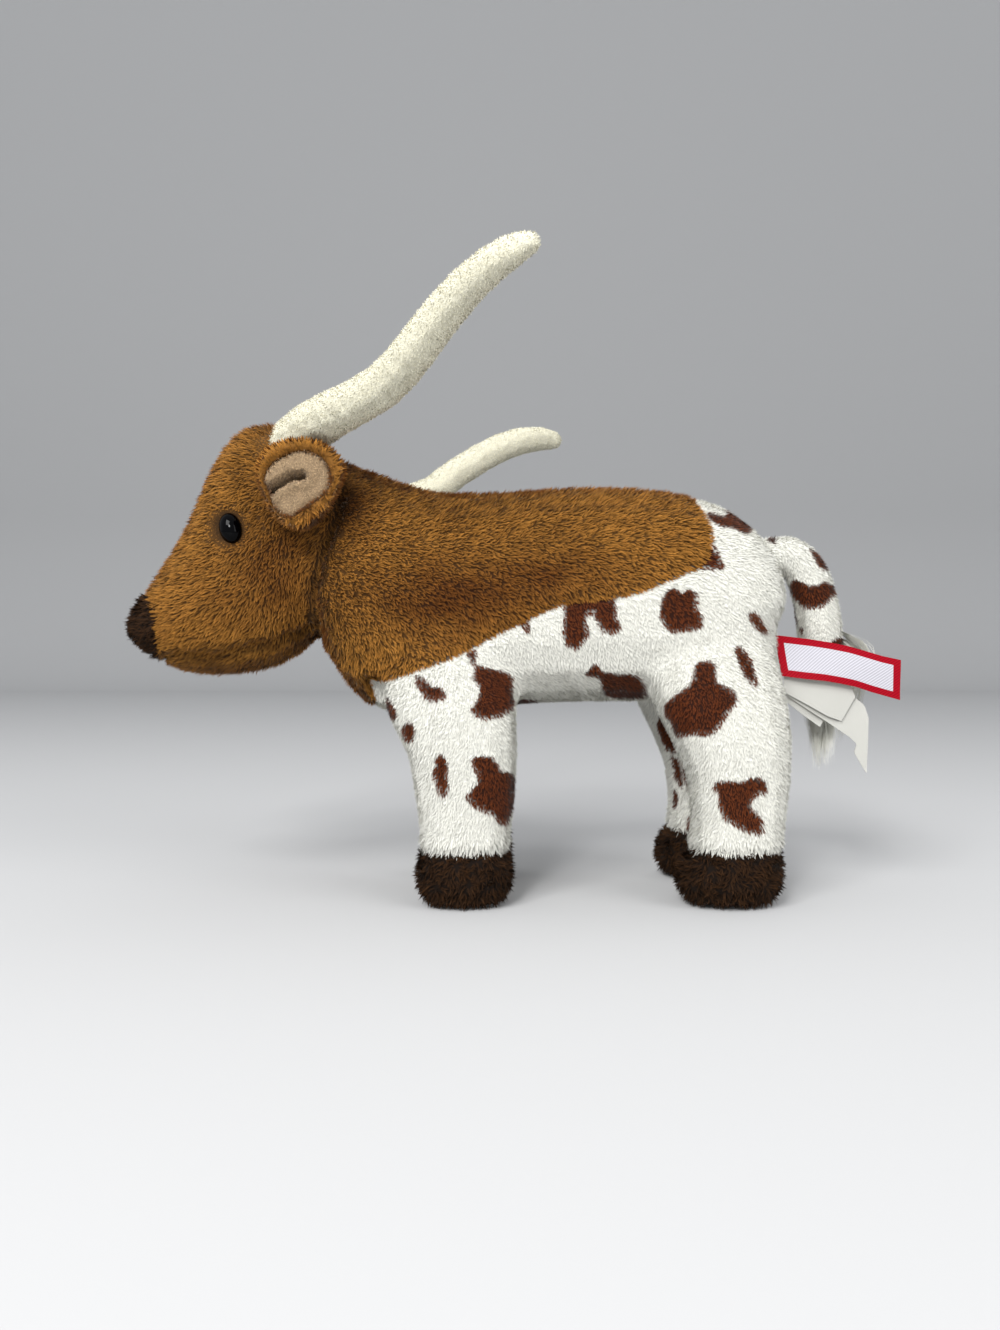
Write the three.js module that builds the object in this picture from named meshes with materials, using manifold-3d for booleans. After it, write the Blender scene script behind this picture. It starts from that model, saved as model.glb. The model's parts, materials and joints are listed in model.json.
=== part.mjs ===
import * as THREE from "three";
import { mergeVertices } from "three/addons/utils/BufferGeometryUtils.js";
import Module from "manifold-3d";

// A stuffed longhorn steer that stands on four hooves. Lengths are in millimetres, +Z is up, the head
// points towards -X and the toy's left side is towards -Y.

const backHeight = 115; // floor to the top of the back
const torsoLength = 137.5; // neck end to rump
const torsoWidth = 55;
const headLength = 57.5; // nose to the back of the head
const headWidth = 46;
const neckOverlap = 10; // how far the neck reaches into the head
const legDepth = 27; // fore and aft
const legWidth = 25;
const legSpread = 36; // left leg to right leg, middle to middle
const hoofHeight = 15;
const skinThickness = 1.5; // pile fabric with its backing
const seamGap = 0.3; // between two sewn pieces, and between skin and stuffing
const rootClearance = 0.5; // round a root that turns in its seat
const overrun = 30; // how far a cutting solid runs past what it cuts

const eyeWidth = 6;
const eyeHeight = 8.2;
const eyeBulge = 2.6;
const eyeShankRadius = 1.3;
const eyeShankLength = 5.2;
const eyeWasherRadius = 3.6;
const eyeWasherThickness = 1;

const earRadius = 10; // of the folded ear, across its mouth
const earDepth = 12; // root to mouth
const earRootRadius = 3.4;
const earBackThickness = 1.5;
const earLiningThickness = 1.6;

const hornLength = 100; // along its curve
const hornRadius = 7.5; // at the root
const hornSkin = 1;

const tailDrop = 30; // root to the end of the tube, straight down
const tailRadius = 6.8;
const tailSkin = 1.2;
const tuftLength = 26;
const tuftRadius = 8;

const wovenLabelLength = 34;
const wovenLabelWidth = 12.5;
const wovenLabelThickness = 0.8;
const careLabelLength = 23;
const careLabelWidth = 18;
const careLabelThickness = 0.5;
const labelSpacing = 0.9; // between the middles of two labels that lie on each other
const labelStandOff = 0.6; // from the seam that holds a label's edge

const left = -1;
const right = 1;
const sides = { left, right };

// Places along the toy, as shares of the torso's length. The front leg stands a little ahead of zero.
const legSpacingShare = 0.531; // front leg to hind leg, middle to middle
const frontLegShare = 0.0695;
const neckShare = 0.3525; // front leg to the neck's end
const frontLegX = -frontLegShare * torsoLength;
const hindLegX = frontLegX + legSpacingShare * torsoLength;
const neckEndX = frontLegX - neckShare * torsoLength;
const noseX = neckEndX + neckOverlap - headLength;

// Each row of shares describes one ring of a form, from one end to the other.
// Torso rows: place along the torso, top and bottom as shares of the back's height, width.
const torsoShares = [
  [0, 1.026, 0.713, 0.545],
  [0.037, 1.061, 0.643, 0.709],
  [0.087, 1.068, 0.541, 0.818],
  [0.145, 1.043, 0.456, 0.891],
  [0.219, 1.01, 0.43, 0.945],
  [0.305, 0.983, 0.43, 0.982],
  [0.443, 0.985, 0.452, 0.993],
  [0.567, 0.997, 0.46, 0.993],
  [0.698, 0.994, 0.46, 1],
  [0.814, 0.976, 0.465, 1],
  [0.895, 0.937, 0.48, 0.964],
  [0.953, 0.874, 0.522, 0.855],
  [0.986, 0.806, 0.574, 0.69],
  [1, 0.739, 0.643, 0.4],
];
// Head rows: place along the head from the nose, top and bottom as shares of the back's height, width.
const headShares = [
  [0, 0.67, 0.63, 0.2],
  [0.02, 0.698, 0.612, 0.38],
  [0.074, 0.732, 0.59, 0.57],
  [0.156, 0.785, 0.561, 0.71],
  [0.254, 0.863, 0.54, 0.82],
  [0.344, 0.945, 0.529, 0.9],
  [0.41, 1.032, 0.528, 0.95],
  [0.484, 1.105, 0.527, 0.98],
  [0.582, 1.153, 0.532, 0.98],
  [0.697, 1.163, 0.544, 0.96],
  [0.811, 1.148, 0.57, 0.89],
  [0.926, 1.1, 0.62, 0.76],
  [1, 1.05, 0.705, 0.52],
];
const headTopNarrowingShare = 0.14; // how much narrower the poll is than the cheeks
// Leg rows: height as a share of the back's height, shift forward and depth as shares of the leg's
// depth, width, distance from the middle as a share of the leg spread.
const frontLegShares = [
  [0, 0, 0.7, 0.7, 1],
  [0.01, 0, 0.86, 0.86, 1],
  [0.03, 0, 0.98, 0.98, 1],
  [0.07, 0, 1.01, 1.01, 1],
  [0.113, 0, 0.98, 0.98, 1],
  [0.14, -0.01, 0.94, 0.94, 1],
  [0.217, -0.01, 1.01, 0.97, 1],
  [0.296, 0, 1.1, 1, 1],
  [0.383, 0.04, 1.19, 1.04, 1],
  [0.461, 0.15, 1.39, 1.04, 0.96],
  [0.539, 0.17, 1.43, 0.98, 0.87],
  [0.617, 0.17, 1.26, 0.92, 0.78],
  [0.696, 0.17, 0.81, 0.64, 0.61],
  [0.748, 0.17, 0.37, 0.32, 0.5],
];
const hindLegShares = [
  [0, 0.07, 0.74, 0.7, 1],
  [0.01, 0.08, 0.93, 0.86, 1],
  [0.03, 0.08, 1.07, 0.98, 1],
  [0.07, 0.08, 1.11, 1.01, 1],
  [0.113, 0.04, 1.03, 0.98, 1],
  [0.14, 0, 0.96, 0.95, 1],
  [0.217, -0.02, 0.99, 0.98, 1],
  [0.296, -0.02, 1.07, 1.02, 1],
  [0.37, 0.04, 1.21, 1.09, 1],
  [0.435, 0.11, 1.35, 1.13, 0.97],
  [0.504, 0.21, 1.42, 1.1, 0.88],
  [0.583, 0.2, 1.37, 1.02, 0.77],
  [0.661, 0.17, 1.11, 0.92, 0.67],
  [0.748, 0.13, 0.67, 0.56, 0.56],
  [0.8, 0.13, 0.3, 0.24, 0.5],
];
// The seam between the brown saddle and the white side, as shares of the torso's length and the back's
// height, from the chest to the top of the rump.
const saddleSeamShares = [
  [0.16, 0.529],
  [0.269, 0.539],
  [0.385, 0.609],
  [0.538, 0.696],
  [0.647, 0.709],
  [0.763, 0.763],
  [0.818, 0.803],
  [0.837, 0.87],
  [0.826, 0.966],
  [0.807, 1.2],
];
const saddleFrontShares = [
  [-0.2, 1.2],
  [-0.2, 0.36],
  [0.12, 0.36],
];
const bellyWidthShare = 0.42;
const bellyTopShare = 0.6;
const bellyFrontShare = 0.143;
// The chin seam and the edge of the nose cap, as shares of the head's length and the back's height.
const chinSeamShares = [
  [0.18, 0.59],
  [0.325, 0.585],
  [0.473, 0.574],
  [0.652, 0.592],
  [0.8, 0.625],
];
const chinLowShares = [
  [1.2, 0.625],
  [1.2, 0.3],
  [-0.2, 0.3],
  [-0.2, 0.59],
];
const noseSeamShares = [
  [0.11, 0.86],
  [0.125, 0.73],
  [0.16, 0.68],
  [0.185, 0.617],
  [0.2, 0.45],
];
const noseFrontShares = [
  [-1, 0.45],
  [-1, 0.86],
];
// Horn rows: back, out and up from the root, as shares of the horn's length. The left one stands free and
// the right one sags a little behind the neck before it rises.
const hornPathShares = {
  left: [
    [0, 0, 0],
    [0.093, 0.112, 0.034],
    [0.188, 0.222, 0.045],
    [0.29, 0.322, 0.072],
    [0.357, 0.392, 0.118],
    [0.434, 0.472, 0.186],
    [0.506, 0.542, 0.238],
    [0.588, 0.612, 0.273],
    [0.63, 0.632, 0.283],
  ],
  right: [
    [0, 0, 0],
    [0.048, 0.07, -0.006],
    [0.11, 0.15, -0.045],
    [0.215, 0.238, -0.078],
    [0.335, 0.296, -0.036],
    [0.43, 0.362, 0.049],
    [0.52, 0.432, 0.117],
    [0.6, 0.492, 0.169],
    [0.7, 0.572, 0.205],
    [0.76, 0.62, 0.21],
  ],
};
const hornRadiusShares = {
  left: [1, 0.93, 0.83, 0.8, 0.77, 0.71, 0.65, 0.56, 0.42],
  right: [1, 0.93, 0.83, 0.76, 0.74, 0.73, 0.72, 0.68, 0.52],
};
const hornRootShares = { x: 0.85, y: 0.6, z: 1.083 }; // head's length, half its width, back's height
const eyePlaceShares = { x: 0.58, z: 0.874 };
const eyeLean = THREE.MathUtils.degToRad(15);
const earPlaceShares = { x: 0.895, z: 0.94 };
const earSweep = THREE.MathUtils.degToRad(290); // of the fabric round the ear's hollow
// How far an ear leans forward for each length it stands out. The right one is pushed clear of its horn.
const earForwardShares = { left: -0.22, right: 0.36 };
const earSwellShares = [0.12, 0.95]; // of a quarter turn: how wide the ear starts and how soon it opens
const earLobeShare = 0.22; // how much further out the back of the ear reaches than its lips
// Tail rows: back and down from the root, as shares of the tail's drop.
const tailPathShares = [
  [0, 0],
  [0.24, 0],
  [0.4, 0.13],
  [0.5, 0.4],
  [0.55, 0.7],
  [0.57, 1],
];
const tailRadiusShares = [0.82, 0.95, 1, 1.02, 1.05, 0.98];
const tailRootShares = { x: 0.969, z: 0.83 };
const tuftRadiusShares = [0.5, 0.95, 1, 0.85, 0.55, 0.2];
const labelRootShares = { y: 0.5, z: 0.58 };
const wovenLabelTilt = THREE.MathUtils.degToRad(10);
// Outlines of the care labels, from their sewn edge, as shares of their length and width.
const careLabelShares = [
  [[0, 0.28], [0, -0.28], [0.42, -0.62], [0.97, -1.25], [1, -0.3]],
  [[0, 0.2], [0, -0.36], [0.18, -1.15], [0.62, -1.2], [0.72, -0.1]],
];
const careLabelRootDropShare = 0.8; // of the woven label's width

const torsoRoundness = 2 / 2.5; // powers that square the sections off a little
const headRoundness = 2 / 2.2;

const detail = {
  torso: [16, 18],
  torsoInside: [9, 10],
  head: [14, 16],
  headInside: [8, 10],
  leg: [12, 12],
  legInside: [6, 8],
  tube: [11, 8],
  tubeInside: [8, 6],
  ear: [5, 12],
};
const roundSegments = 14;
const domeSteps = 5;
const capAngles = [76, 36].map(THREE.MathUtils.degToRad); // of the rings in a tube's round end

const colours = {
  brown: 0x96602f,
  darkBrown: 0x3f2a1d,
  white: 0xe9e4da,
  horn: 0xe6dfc6,
  tan: 0xc79a76,
  black: 0x0b0908,
  stuffing: 0xf4f3ee,
  red: 0xb3182a,
};

const wasm = await Module();
wasm.setup();

const roughnesses = { cloth: 0.95, satin: 0.55, plastic: 0.4, glossy: 0.08 };

function material(colour, roughness = roughnesses.cloth) {
  return new THREE.MeshStandardMaterial({ color: colour, roughness, metalness: 0 });
}

// Values at even steps along a smooth curve through the rows.
function smoothRows(rows, steps) {
  const last = rows.length - 1;
  return Array.from({ length: steps + 1 }, (_, step) => {
    const place = (step / steps) * last;
    const row = Math.min(Math.floor(place), last - 1);
    const t = place - row;
    const before = rows[Math.max(row - 1, 0)];
    const beyond = rows[Math.min(row + 2, last)];
    return rows[row].map((value, column) => {
      const next = rows[row + 1][column];
      const slope = (next - before[column]) / 2;
      const nextSlope = (beyond[column] - value) / 2;
      const rise = next - value;
      const bend = 3 * rise - 2 * slope - nextSlope;
      return value + t * (slope + t * (bend + t * (slope + nextSlope - 2 * rise)));
    });
  });
}

function volumeOf(form) {
  return form.faces.reduce((sum, [a, b, c]) => {
    const across = form.points[b].clone().cross(form.points[c]);
    return sum + form.points[a].dot(across) / 6;
  }, 0);
}

// Faces between rings of points that follow one another, each ring closed on itself.
function facesBetween(rings) {
  const count = rings[0].length;
  return rings.slice(1).flatMap((_, level) =>
    rings[0].flatMap((_, side) => {
      const here = level * count + side;
      const next = level * count + ((side + 1) % count);
      return [
        [here, next, next + count],
        [here, next + count, here + count],
      ];
    }),
  );
}

function facingOut(form) {
  if (volumeOf(form) < 0) form.faces.forEach((face) => face.reverse());
  return form;
}

// A closed form through rings of points, with one more point in the middle of each end ring.
function formThrough(rings) {
  const count = rings[0].length;
  const points = rings.flat();
  const faces = facesBetween(rings);
  [rings[0], rings.at(-1)].forEach((ring, end) => {
    const centre = ring.reduce((sum, p) => sum.add(p), new THREE.Vector3()).divideScalar(count);
    const middle = points.push(centre) - 1;
    const start = end * (rings.length - 1) * count;
    for (let side = 0; side < count; side++) {
      const pair = [start + side, start + ((side + 1) % count)];
      faces.push(end ? [...pair, middle] : [...pair.reverse(), middle]);
    }
  });
  return facingOut({ points, faces });
}

// A closed sheet through rings that each run along the outside and back along the inside.
function sheetThrough(rings) {
  const count = rings[0].length;
  const faces = facesBetween(rings);
  [0, (rings.length - 1) * count].forEach((start) => {
    for (let side = 0; side < count / 2 - 1; side++) {
      const [here, next] = [start + side, start + side + 1];
      const [opposite, beyond] = [start + count - 1 - side, start + count - 2 - side];
      const pair = [
        [here, beyond, next],
        [here, opposite, beyond],
      ];
      faces.push(...(start ? pair.map((face) => face.reverse()) : pair));
    }
  });
  return facingOut({ points: rings.flat(), faces });
}

// The same form with every point moved out along its normal, or in where the distance is negative.
function grown(form, distance) {
  const normals = form.points.map(() => new THREE.Vector3());
  form.faces.forEach((face) => {
    const [a, b, c] = face.map((index) => form.points[index]);
    const normal = b.clone().sub(a).cross(c.clone().sub(a));
    face.forEach((index) => normals[index].add(normal));
  });
  const points = form.points.map((point, index) =>
    point.clone().addScaledVector(normals[index].normalize(), distance),
  );
  return { points, faces: form.faces };
}

function geometryOf(form) {
  const places = form.points.flatMap((point) => point.toArray());
  return new THREE.BufferGeometry()
    .setAttribute("position", new THREE.Float32BufferAttribute(places, 3))
    .setIndex(form.faces.flat());
}

function solidOfGeometry(source) {
  const geometry = source.clone();
  geometry.deleteAttribute("normal");
  geometry.deleteAttribute("uv");
  const merged = mergeVertices(geometry);
  return new wasm.Manifold(
    new wasm.Mesh({
      numProp: 3,
      vertProperties: new Float32Array(merged.attributes.position.array),
      triVerts: new Uint32Array(merged.index.array),
    }),
  );
}

const solidOf = (form) => solidOfGeometry(geometryOf(form));

// A side view outline in X and Z, as a solid that runs between two distances across the toy.
function sideOutline(outline, fromY, toY) {
  const shape = new THREE.Shape(outline.map(([x, z]) => new THREE.Vector2(x, z)));
  const geometry = new THREE.ExtrudeGeometry(shape, { depth: toY - fromY, bevelEnabled: false });
  return solidOfGeometry(geometry.rotateX(Math.PI / 2).translate(0, toY, 0));
}

function box(lowest, highest) {
  const size = highest.clone().sub(lowest);
  const middle = lowest.clone().add(highest).divideScalar(2);
  const geometry = new THREE.BoxGeometry(size.x, size.y, size.z).translate(middle.x, middle.y, middle.z);
  return solidOfGeometry(geometry);
}

function ball(centre, radius) {
  const geometry = new THREE.SphereGeometry(radius, roundSegments, roundSegments / 2);
  return solidOfGeometry(geometry.translate(centre.x, centre.y, centre.z));
}

// The largest of the bodies that a cut leaves, so that no sliver of fabric stays beside it.
function mainBody(solid) {
  return solid.decompose().reduce((best, body) => (body.volume() > best.volume() ? body : best));
}

const toy = new THREE.Group();

function group(name, place) {
  const made = new THREE.Group();
  made.name = name;
  made.position.copy(place);
  toy.add(made);
  toy.updateMatrixWorld(true);
  return made;
}

// A named mesh of a solid that was cut in the toy's frame, held in the frame of its group.
function addPiece(name, solid, finish, parent) {
  const cut = mainBody(solid).getMesh();
  const geometry = new THREE.BufferGeometry()
    .setAttribute("position", new THREE.BufferAttribute(new Float32Array(cut.vertProperties), 3))
    .setIndex(new THREE.BufferAttribute(new Uint32Array(cut.triVerts), 1))
    .applyMatrix4(parent.matrixWorld.clone().invert());
  geometry.computeVertexNormals();
  const mesh = new THREE.Mesh(geometry, finish);
  mesh.name = name;
  parent.add(mesh);
}

// A superellipse round a middle, in the plane that the two directions span.
function section(middle, across, up, roundness, count, narrowing = 0) {
  return Array.from({ length: count }, (_, index) => {
    const angle = (index / count) * 2 * Math.PI;
    const [sideways, rise] = [Math.cos(angle), Math.sin(angle)].map(
      (value) => Math.sign(value) * Math.abs(value) ** roundness,
    );
    return middle
      .clone()
      .addScaledVector(across, sideways * (1 - narrowing * rise))
      .addScaledVector(up, rise);
  });
}

// A form whose rings stand upright across the toy.
function uprightForm(shares, startX, length, width, roundness, narrowing, [steps, count]) {
  const rings = smoothRows(shares, steps).map(([along, top, bottom, wide]) => {
    const middle = new THREE.Vector3(startX + along * length, 0, ((top + bottom) / 2) * backHeight);
    const across = new THREE.Vector3(0, (wide * width) / 2, 0);
    const up = new THREE.Vector3(0, 0, ((top - bottom) / 2) * backHeight);
    return section(middle, across, up, roundness, count, narrowing);
  });
  return formThrough(rings);
}

function torsoForm(steps) {
  return uprightForm(torsoShares, neckEndX, torsoLength, torsoWidth, torsoRoundness, 0, steps);
}

function headForm(steps) {
  return uprightForm(
    headShares,
    noseX,
    headLength,
    headWidth,
    headRoundness,
    headTopNarrowingShare,
    steps,
  );
}

function legForm(shares, middleX, side, [steps, count]) {
  const rings = smoothRows(shares, steps).map(([height, forward, deep, wide, spread]) => {
    const middle = new THREE.Vector3(
      middleX - forward * legDepth,
      (side * spread * legSpread) / 2,
      height * backHeight,
    );
    const across = new THREE.Vector3((deep * legDepth) / 2, 0, 0);
    const wideways = new THREE.Vector3(0, (wide * legWidth) / 2, 0);
    return section(middle, across, wideways, torsoRoundness, count);
  });
  return formThrough(rings);
}

// A round tube along a curve, with a round end at each end. Its start can run straight on instead.
function tubeForm(path, radiusShares, radius, inset, [steps, count], openStart = false) {
  const curve = new THREE.CatmullRomCurve3(path);
  const frames = curve.computeFrenetFrames(steps, false);
  const radii = smoothRows(
    radiusShares.map((share) => [share]),
    steps,
  ).map(([share]) => share * radius - inset);
  const ring = (index, along, size) => {
    const middle = curve.getPoint(index / steps).addScaledVector(frames.tangents[index], along);
    const across = frames.normals[index].clone().multiplyScalar(size);
    const up = frames.binormals[index].clone().multiplyScalar(size);
    return section(middle, across, up, 1, count);
  };
  const start = openStart
    ? [ring(0, -2 * radius, radii[0])]
    : capAngles.map((angle) => ring(0, -radii[0] * Math.sin(angle), radii[0] * Math.cos(angle)));
  const end = capAngles
    .toReversed()
    .map((angle) => ring(steps, radii[steps] * Math.sin(angle), radii[steps] * Math.cos(angle)));
  return formThrough([...start, ...radii.map((size, index) => ring(index, 0, size)), ...end]);
}

// Where a line from outside the toy first meets a form.
function hitOn(form, from, direction) {
  const shell = new THREE.Mesh(geometryOf(form), new THREE.MeshBasicMaterial());
  const hit = new THREE.Raycaster(from, direction).intersectObject(shell)[0];
  return hit && { point: hit.point, normal: hit.face.normal.clone() };
}

function sideOf(form, x, z, side) {
  return hitOn(form, new THREE.Vector3(x, side * torsoWidth, z), new THREE.Vector3(0, -side, 0));
}

// How far back any of the forms reaches behind an upright edge of that height.
function rearOf(forms, y, z, height) {
  const levels = [-1, 0, 1].map((step) => z + (step * height) / 2);
  const places = forms.flatMap((form) =>
    levels.flatMap((level) => {
      const hit = hitOn(form, new THREE.Vector3(torsoLength, y, level), new THREE.Vector3(-1, 0, 0));
      return hit ? [hit.point.x] : [];
    }),
  );
  return Math.max(...places);
}

// Torso and head, each a stuffed core inside a skin.
const torso = torsoForm(detail.torso);
const torsoInside = torsoForm(detail.torsoInside);
const head = headForm(detail.head);
const headInside = headForm(detail.headInside);
const fillingInset = skinThickness + seamGap;

const torsoKeepOut = solidOf(grown(torso, seamGap));
const legs = [
  { name: "front", shares: frontLegShares, x: frontLegX },
  { name: "hind", shares: hindLegShares, x: hindLegX },
].flatMap((leg) =>
  Object.entries(sides).map(([sideName, side]) => ({
    title: leg.name + "_" + sideName,
    place: new THREE.Vector3(leg.x, (side * legSpread) / 2, 0),
    outside: legForm(leg.shares, leg.x, side, detail.leg),
    inside: legForm(leg.shares, leg.x, side, detail.legInside),
  })),
);

const torsoGroup = group("torso", new THREE.Vector3(neckEndX + torsoLength / 2, 0, backHeight / 2));
const headGroup = group("head", new THREE.Vector3(neckEndX, 0, backHeight));

const farX = torsoLength + overrun;
const farZ = backHeight + headLength;
const sideBand = (side) => {
  const [near, far] = [seamGap / 2, torsoWidth / 2 + overrun].map((distance) => side * distance);
  return box(
    new THREE.Vector3(-farX, Math.min(near, far), -overrun),
    new THREE.Vector3(farX, Math.max(near, far), farZ),
  );
};
const onTorso = ([along, high]) => [neckEndX + along * torsoLength, high * backHeight];
const onHead = ([along, high]) => [noseX + along * headLength, high * backHeight];
const across = [-torsoWidth, torsoWidth];

// What turns in a seat in the head or neck leaves a round hollow there, in the skin and in the stuffing.
function withSeats(solid) {
  const seats = [
    ...horns.map((horn) => ball(horn.root, hornRadius + rootClearance)),
    ...ears.map((ear) => ball(ear.root, earRootRadius + rootClearance)),
    tailSeat(),
  ];
  return seats.reduce((rest, seat) => rest.subtract(seat), solid);
}

function addTorso() {
  const core = withSeats(solidOf(grown(torsoInside, -fillingInset)));
  addPiece("torso_filling", core, material(colours.stuffing), torsoGroup);

  const neckCut = box(
    new THREE.Vector3(-farX, -torsoWidth, 0),
    new THREE.Vector3(neckEndX + 2 * fillingInset, torsoWidth, farZ),
  );
  let skin = solidOf(torso).subtract(solidOf(grown(torsoInside, -skinThickness))).subtract(neckCut);
  legs.forEach((leg) => {
    skin = skin.subtract(solidOf(grown(leg.inside, seamGap - fillingInset)));
  });
  skin = withSeats(skin);

  const saddleArea = sideOutline([...saddleSeamShares, ...saddleFrontShares].map(onTorso), ...across);
  const [seamX, seamZ] = [seamGap, -seamGap];
  const saddleReach = saddleArea.add(saddleArea.translate([seamX, 0, seamZ]));
  const bellyHalf = (bellyWidthShare * torsoWidth) / 2;
  const bellyArea = (extra) =>
    box(
      new THREE.Vector3(neckEndX + bellyFrontShare * torsoLength - extra, -bellyHalf - extra, 0),
      new THREE.Vector3(neckEndX + torsoLength, bellyHalf + extra, bellyTopShare * backHeight + extra),
    );
  const lowerSkin = skin.subtract(saddleReach);
  addPiece("belly_panel", lowerSkin.intersect(bellyArea(0)), material(colours.white), torsoGroup);
  Object.entries(sides).forEach(([name, side]) => {
    const half = sideBand(side);
    const saddle = skin.intersect(saddleArea).intersect(half);
    addPiece("saddle_" + name, saddle, material(colours.brown), torsoGroup);
    const flank = lowerSkin.subtract(bellyArea(seamGap)).intersect(half);
    addPiece("flank_" + name, flank, material(colours.white), torsoGroup);
  });
}

function addLegs() {
  const hoofTop = new THREE.Vector3(farX, torsoWidth, hoofHeight);
  const floorBox = (top) => box(new THREE.Vector3(-farX, -torsoWidth, -overrun), hoofTop.clone().setZ(top));
  const torsoCore = solidOf(grown(torsoInside, seamGap - fillingInset));
  legs.forEach((leg) => {
    const legGroup = group("leg_" + leg.title, leg.place);
    const shell = solidOf(leg.outside).subtract(solidOf(grown(leg.inside, -skinThickness)));
    const core = solidOf(grown(leg.inside, -fillingInset)).subtract(torsoCore);
    addPiece("leg_" + leg.title + "_filling", core, material(colours.stuffing), legGroup);
    const cover = shell.subtract(floorBox(hoofHeight + seamGap)).subtract(torsoKeepOut);
    addPiece("leg_" + leg.title + "_cover", cover, material(colours.white), legGroup);
    const foot = shell.intersect(floorBox(hoofHeight));
    const sole = solidOf(leg.outside).intersect(floorBox(skinThickness));
    const hoof = foot.subtract(floorBox(fillingInset));
    addPiece("hoof_" + leg.title, hoof, material(colours.darkBrown), legGroup);
    addPiece("hoof_sole_" + leg.title, sole, material(colours.darkBrown), legGroup);
  });
}

// Eyes: a glossy dome on a shank that passes through the face, with a washer behind it.
const eyes = Object.entries(sides).map(([name, side]) => {
  const seat = sideOf(head, noseX + eyePlaceShares.x * headLength, eyePlaceShares.z * backHeight, side);
  const place = seat.point.clone().addScaledVector(seat.normal, seamGap);
  const turn = new THREE.Quaternion().setFromUnitVectors(new THREE.Vector3(0, 0, 1), seat.normal);
  return { name, side, place, turn };
});

function cylinder(radius, fromZ, toZ) {
  const geometry = new THREE.CylinderGeometry(radius, radius, toZ - fromZ, roundSegments);
  return geometry.rotateX(Math.PI / 2).translate(0, 0, (fromZ + toZ) / 2);
}

function placed(geometry, eye) {
  return solidOfGeometry(geometry.applyQuaternion(eye.turn).translate(...eye.place.toArray()));
}

const washerTop = -fillingInset - 2 * seamGap;
const washerBottom = washerTop - eyeWasherThickness;

function eyePocket(eye) {
  const hole = placed(cylinder(eyeShankRadius + seamGap, -eyeShankLength - seamGap, eyeBulge), eye);
  const room = placed(cylinder(eyeWasherRadius + seamGap, washerBottom - seamGap, -skinThickness), eye);
  return { hole, room };
}

function addEyes() {
  eyes.forEach((eye) => {
    const eyeGroup = group("eye_" + eye.name, eye.place);
    const domePoints = new THREE.EllipseCurve(0, 0, 1, 1, 0, Math.PI / 2).getPoints(domeSteps);
    const profile = [new THREE.Vector2(0, 0), ...domePoints];
    profile.at(-1).x = 0;
    const dome = new THREE.LatheGeometry(profile, roundSegments).rotateX(Math.PI / 2);
    dome.scale(eyeWidth / 2, eyeHeight / 2, eyeBulge).rotateZ(-eye.side * eyeLean);
    const shank = placed(cylinder(eyeShankRadius, -eyeShankLength, eyeBulge / 2), eye);
    const black = material(colours.black, roughnesses.glossy);
    addPiece("eye_" + eye.name, placed(dome, eye).add(shank), black, eyeGroup);
    const ring = placed(cylinder(eyeWasherRadius, washerBottom, washerTop), eye);
    const bore = placed(cylinder(eyeShankRadius + seamGap, -eyeShankLength, eyeBulge), eye);
    const white = material(colours.white, roughnesses.plastic);
    addPiece("eye_washer_" + eye.name, ring.subtract(bore), white, eyeGroup);
  });
}

// Horns: a long tube of fleece over stuffing, turning about the middle of its round root.
const horns = Object.entries(sides).map(([name, side]) => {
  const root = new THREE.Vector3(
    noseX + hornRootShares.x * headLength,
    (side * hornRootShares.y * headWidth) / 2,
    hornRootShares.z * backHeight,
  );
  const path = hornPathShares[name].map(([back, out, up]) =>
    new THREE.Vector3(back, side * out, up).multiplyScalar(hornLength).add(root),
  );
  return { name, root, path };
});

// Ears: a leaf of fabric folded round a hollow that faces forward, on a small root at the head's side.
const ears = Object.entries(sides).map(([name, side]) => {
  const place = [noseX + earPlaceShares.x * headLength, earPlaceShares.z * backHeight, side];
  const seats = [head, torso].flatMap((form) => sideOf(form, ...place) ?? []);
  return { name, side, root: seats.sort((a, b) => side * (b.point.y - a.point.y))[0].point };
});

function tailPath() {
  const root = new THREE.Vector3(
    neckEndX + tailRootShares.x * torsoLength,
    0,
    tailRootShares.z * backHeight,
  );
  const path = tailPathShares.map(([back, down]) =>
    new THREE.Vector3(back, 0, -down).multiplyScalar(tailDrop).add(root),
  );
  return { root, path };
}

// Tail: a stuffed tube that turns about the middle of its round root, with a tuft of long fur.
const tail = tailPath();

function tailSeat() {
  return ball(tail.root, tailRadiusShares[0] * tailRadius + rootClearance);
}

function earSheet(ear, fromInside, thickness) {
  const [rows, columns] = detail.ear;
  const point = (row, column, inset) => {
    const along = row / rows;
    const turn = (column / columns - 1 / 2) * earSweep;
    const reach = earRootRadius / 2 + earDepth * along * (1 + earLobeShare * Math.cos(turn));
    const [start, opening] = earSwellShares;
    const swell = Math.sin((Math.PI / 2) * Math.min(1, along * opening + start));
    const radius = earRadius * swell - inset;
    return new THREE.Vector3(
      radius * Math.cos(turn) - earForwardShares[ear.name] * reach,
      ear.side * (reach + inset * (1 - along)),
      radius * Math.sin(turn),
    ).add(ear.root);
  };
  const rings = Array.from({ length: rows + 1 }, (_, row) => {
    const outer = Array.from({ length: columns + 1 }, (_, column) => point(row, column, fromInside));
    const inner = Array.from({ length: columns + 1 }, (_, column) =>
      point(row, columns - column, fromInside + thickness),
    );
    return [...outer, ...inner];
  });
  return solidOf(sheetThrough(rings));
}

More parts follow.
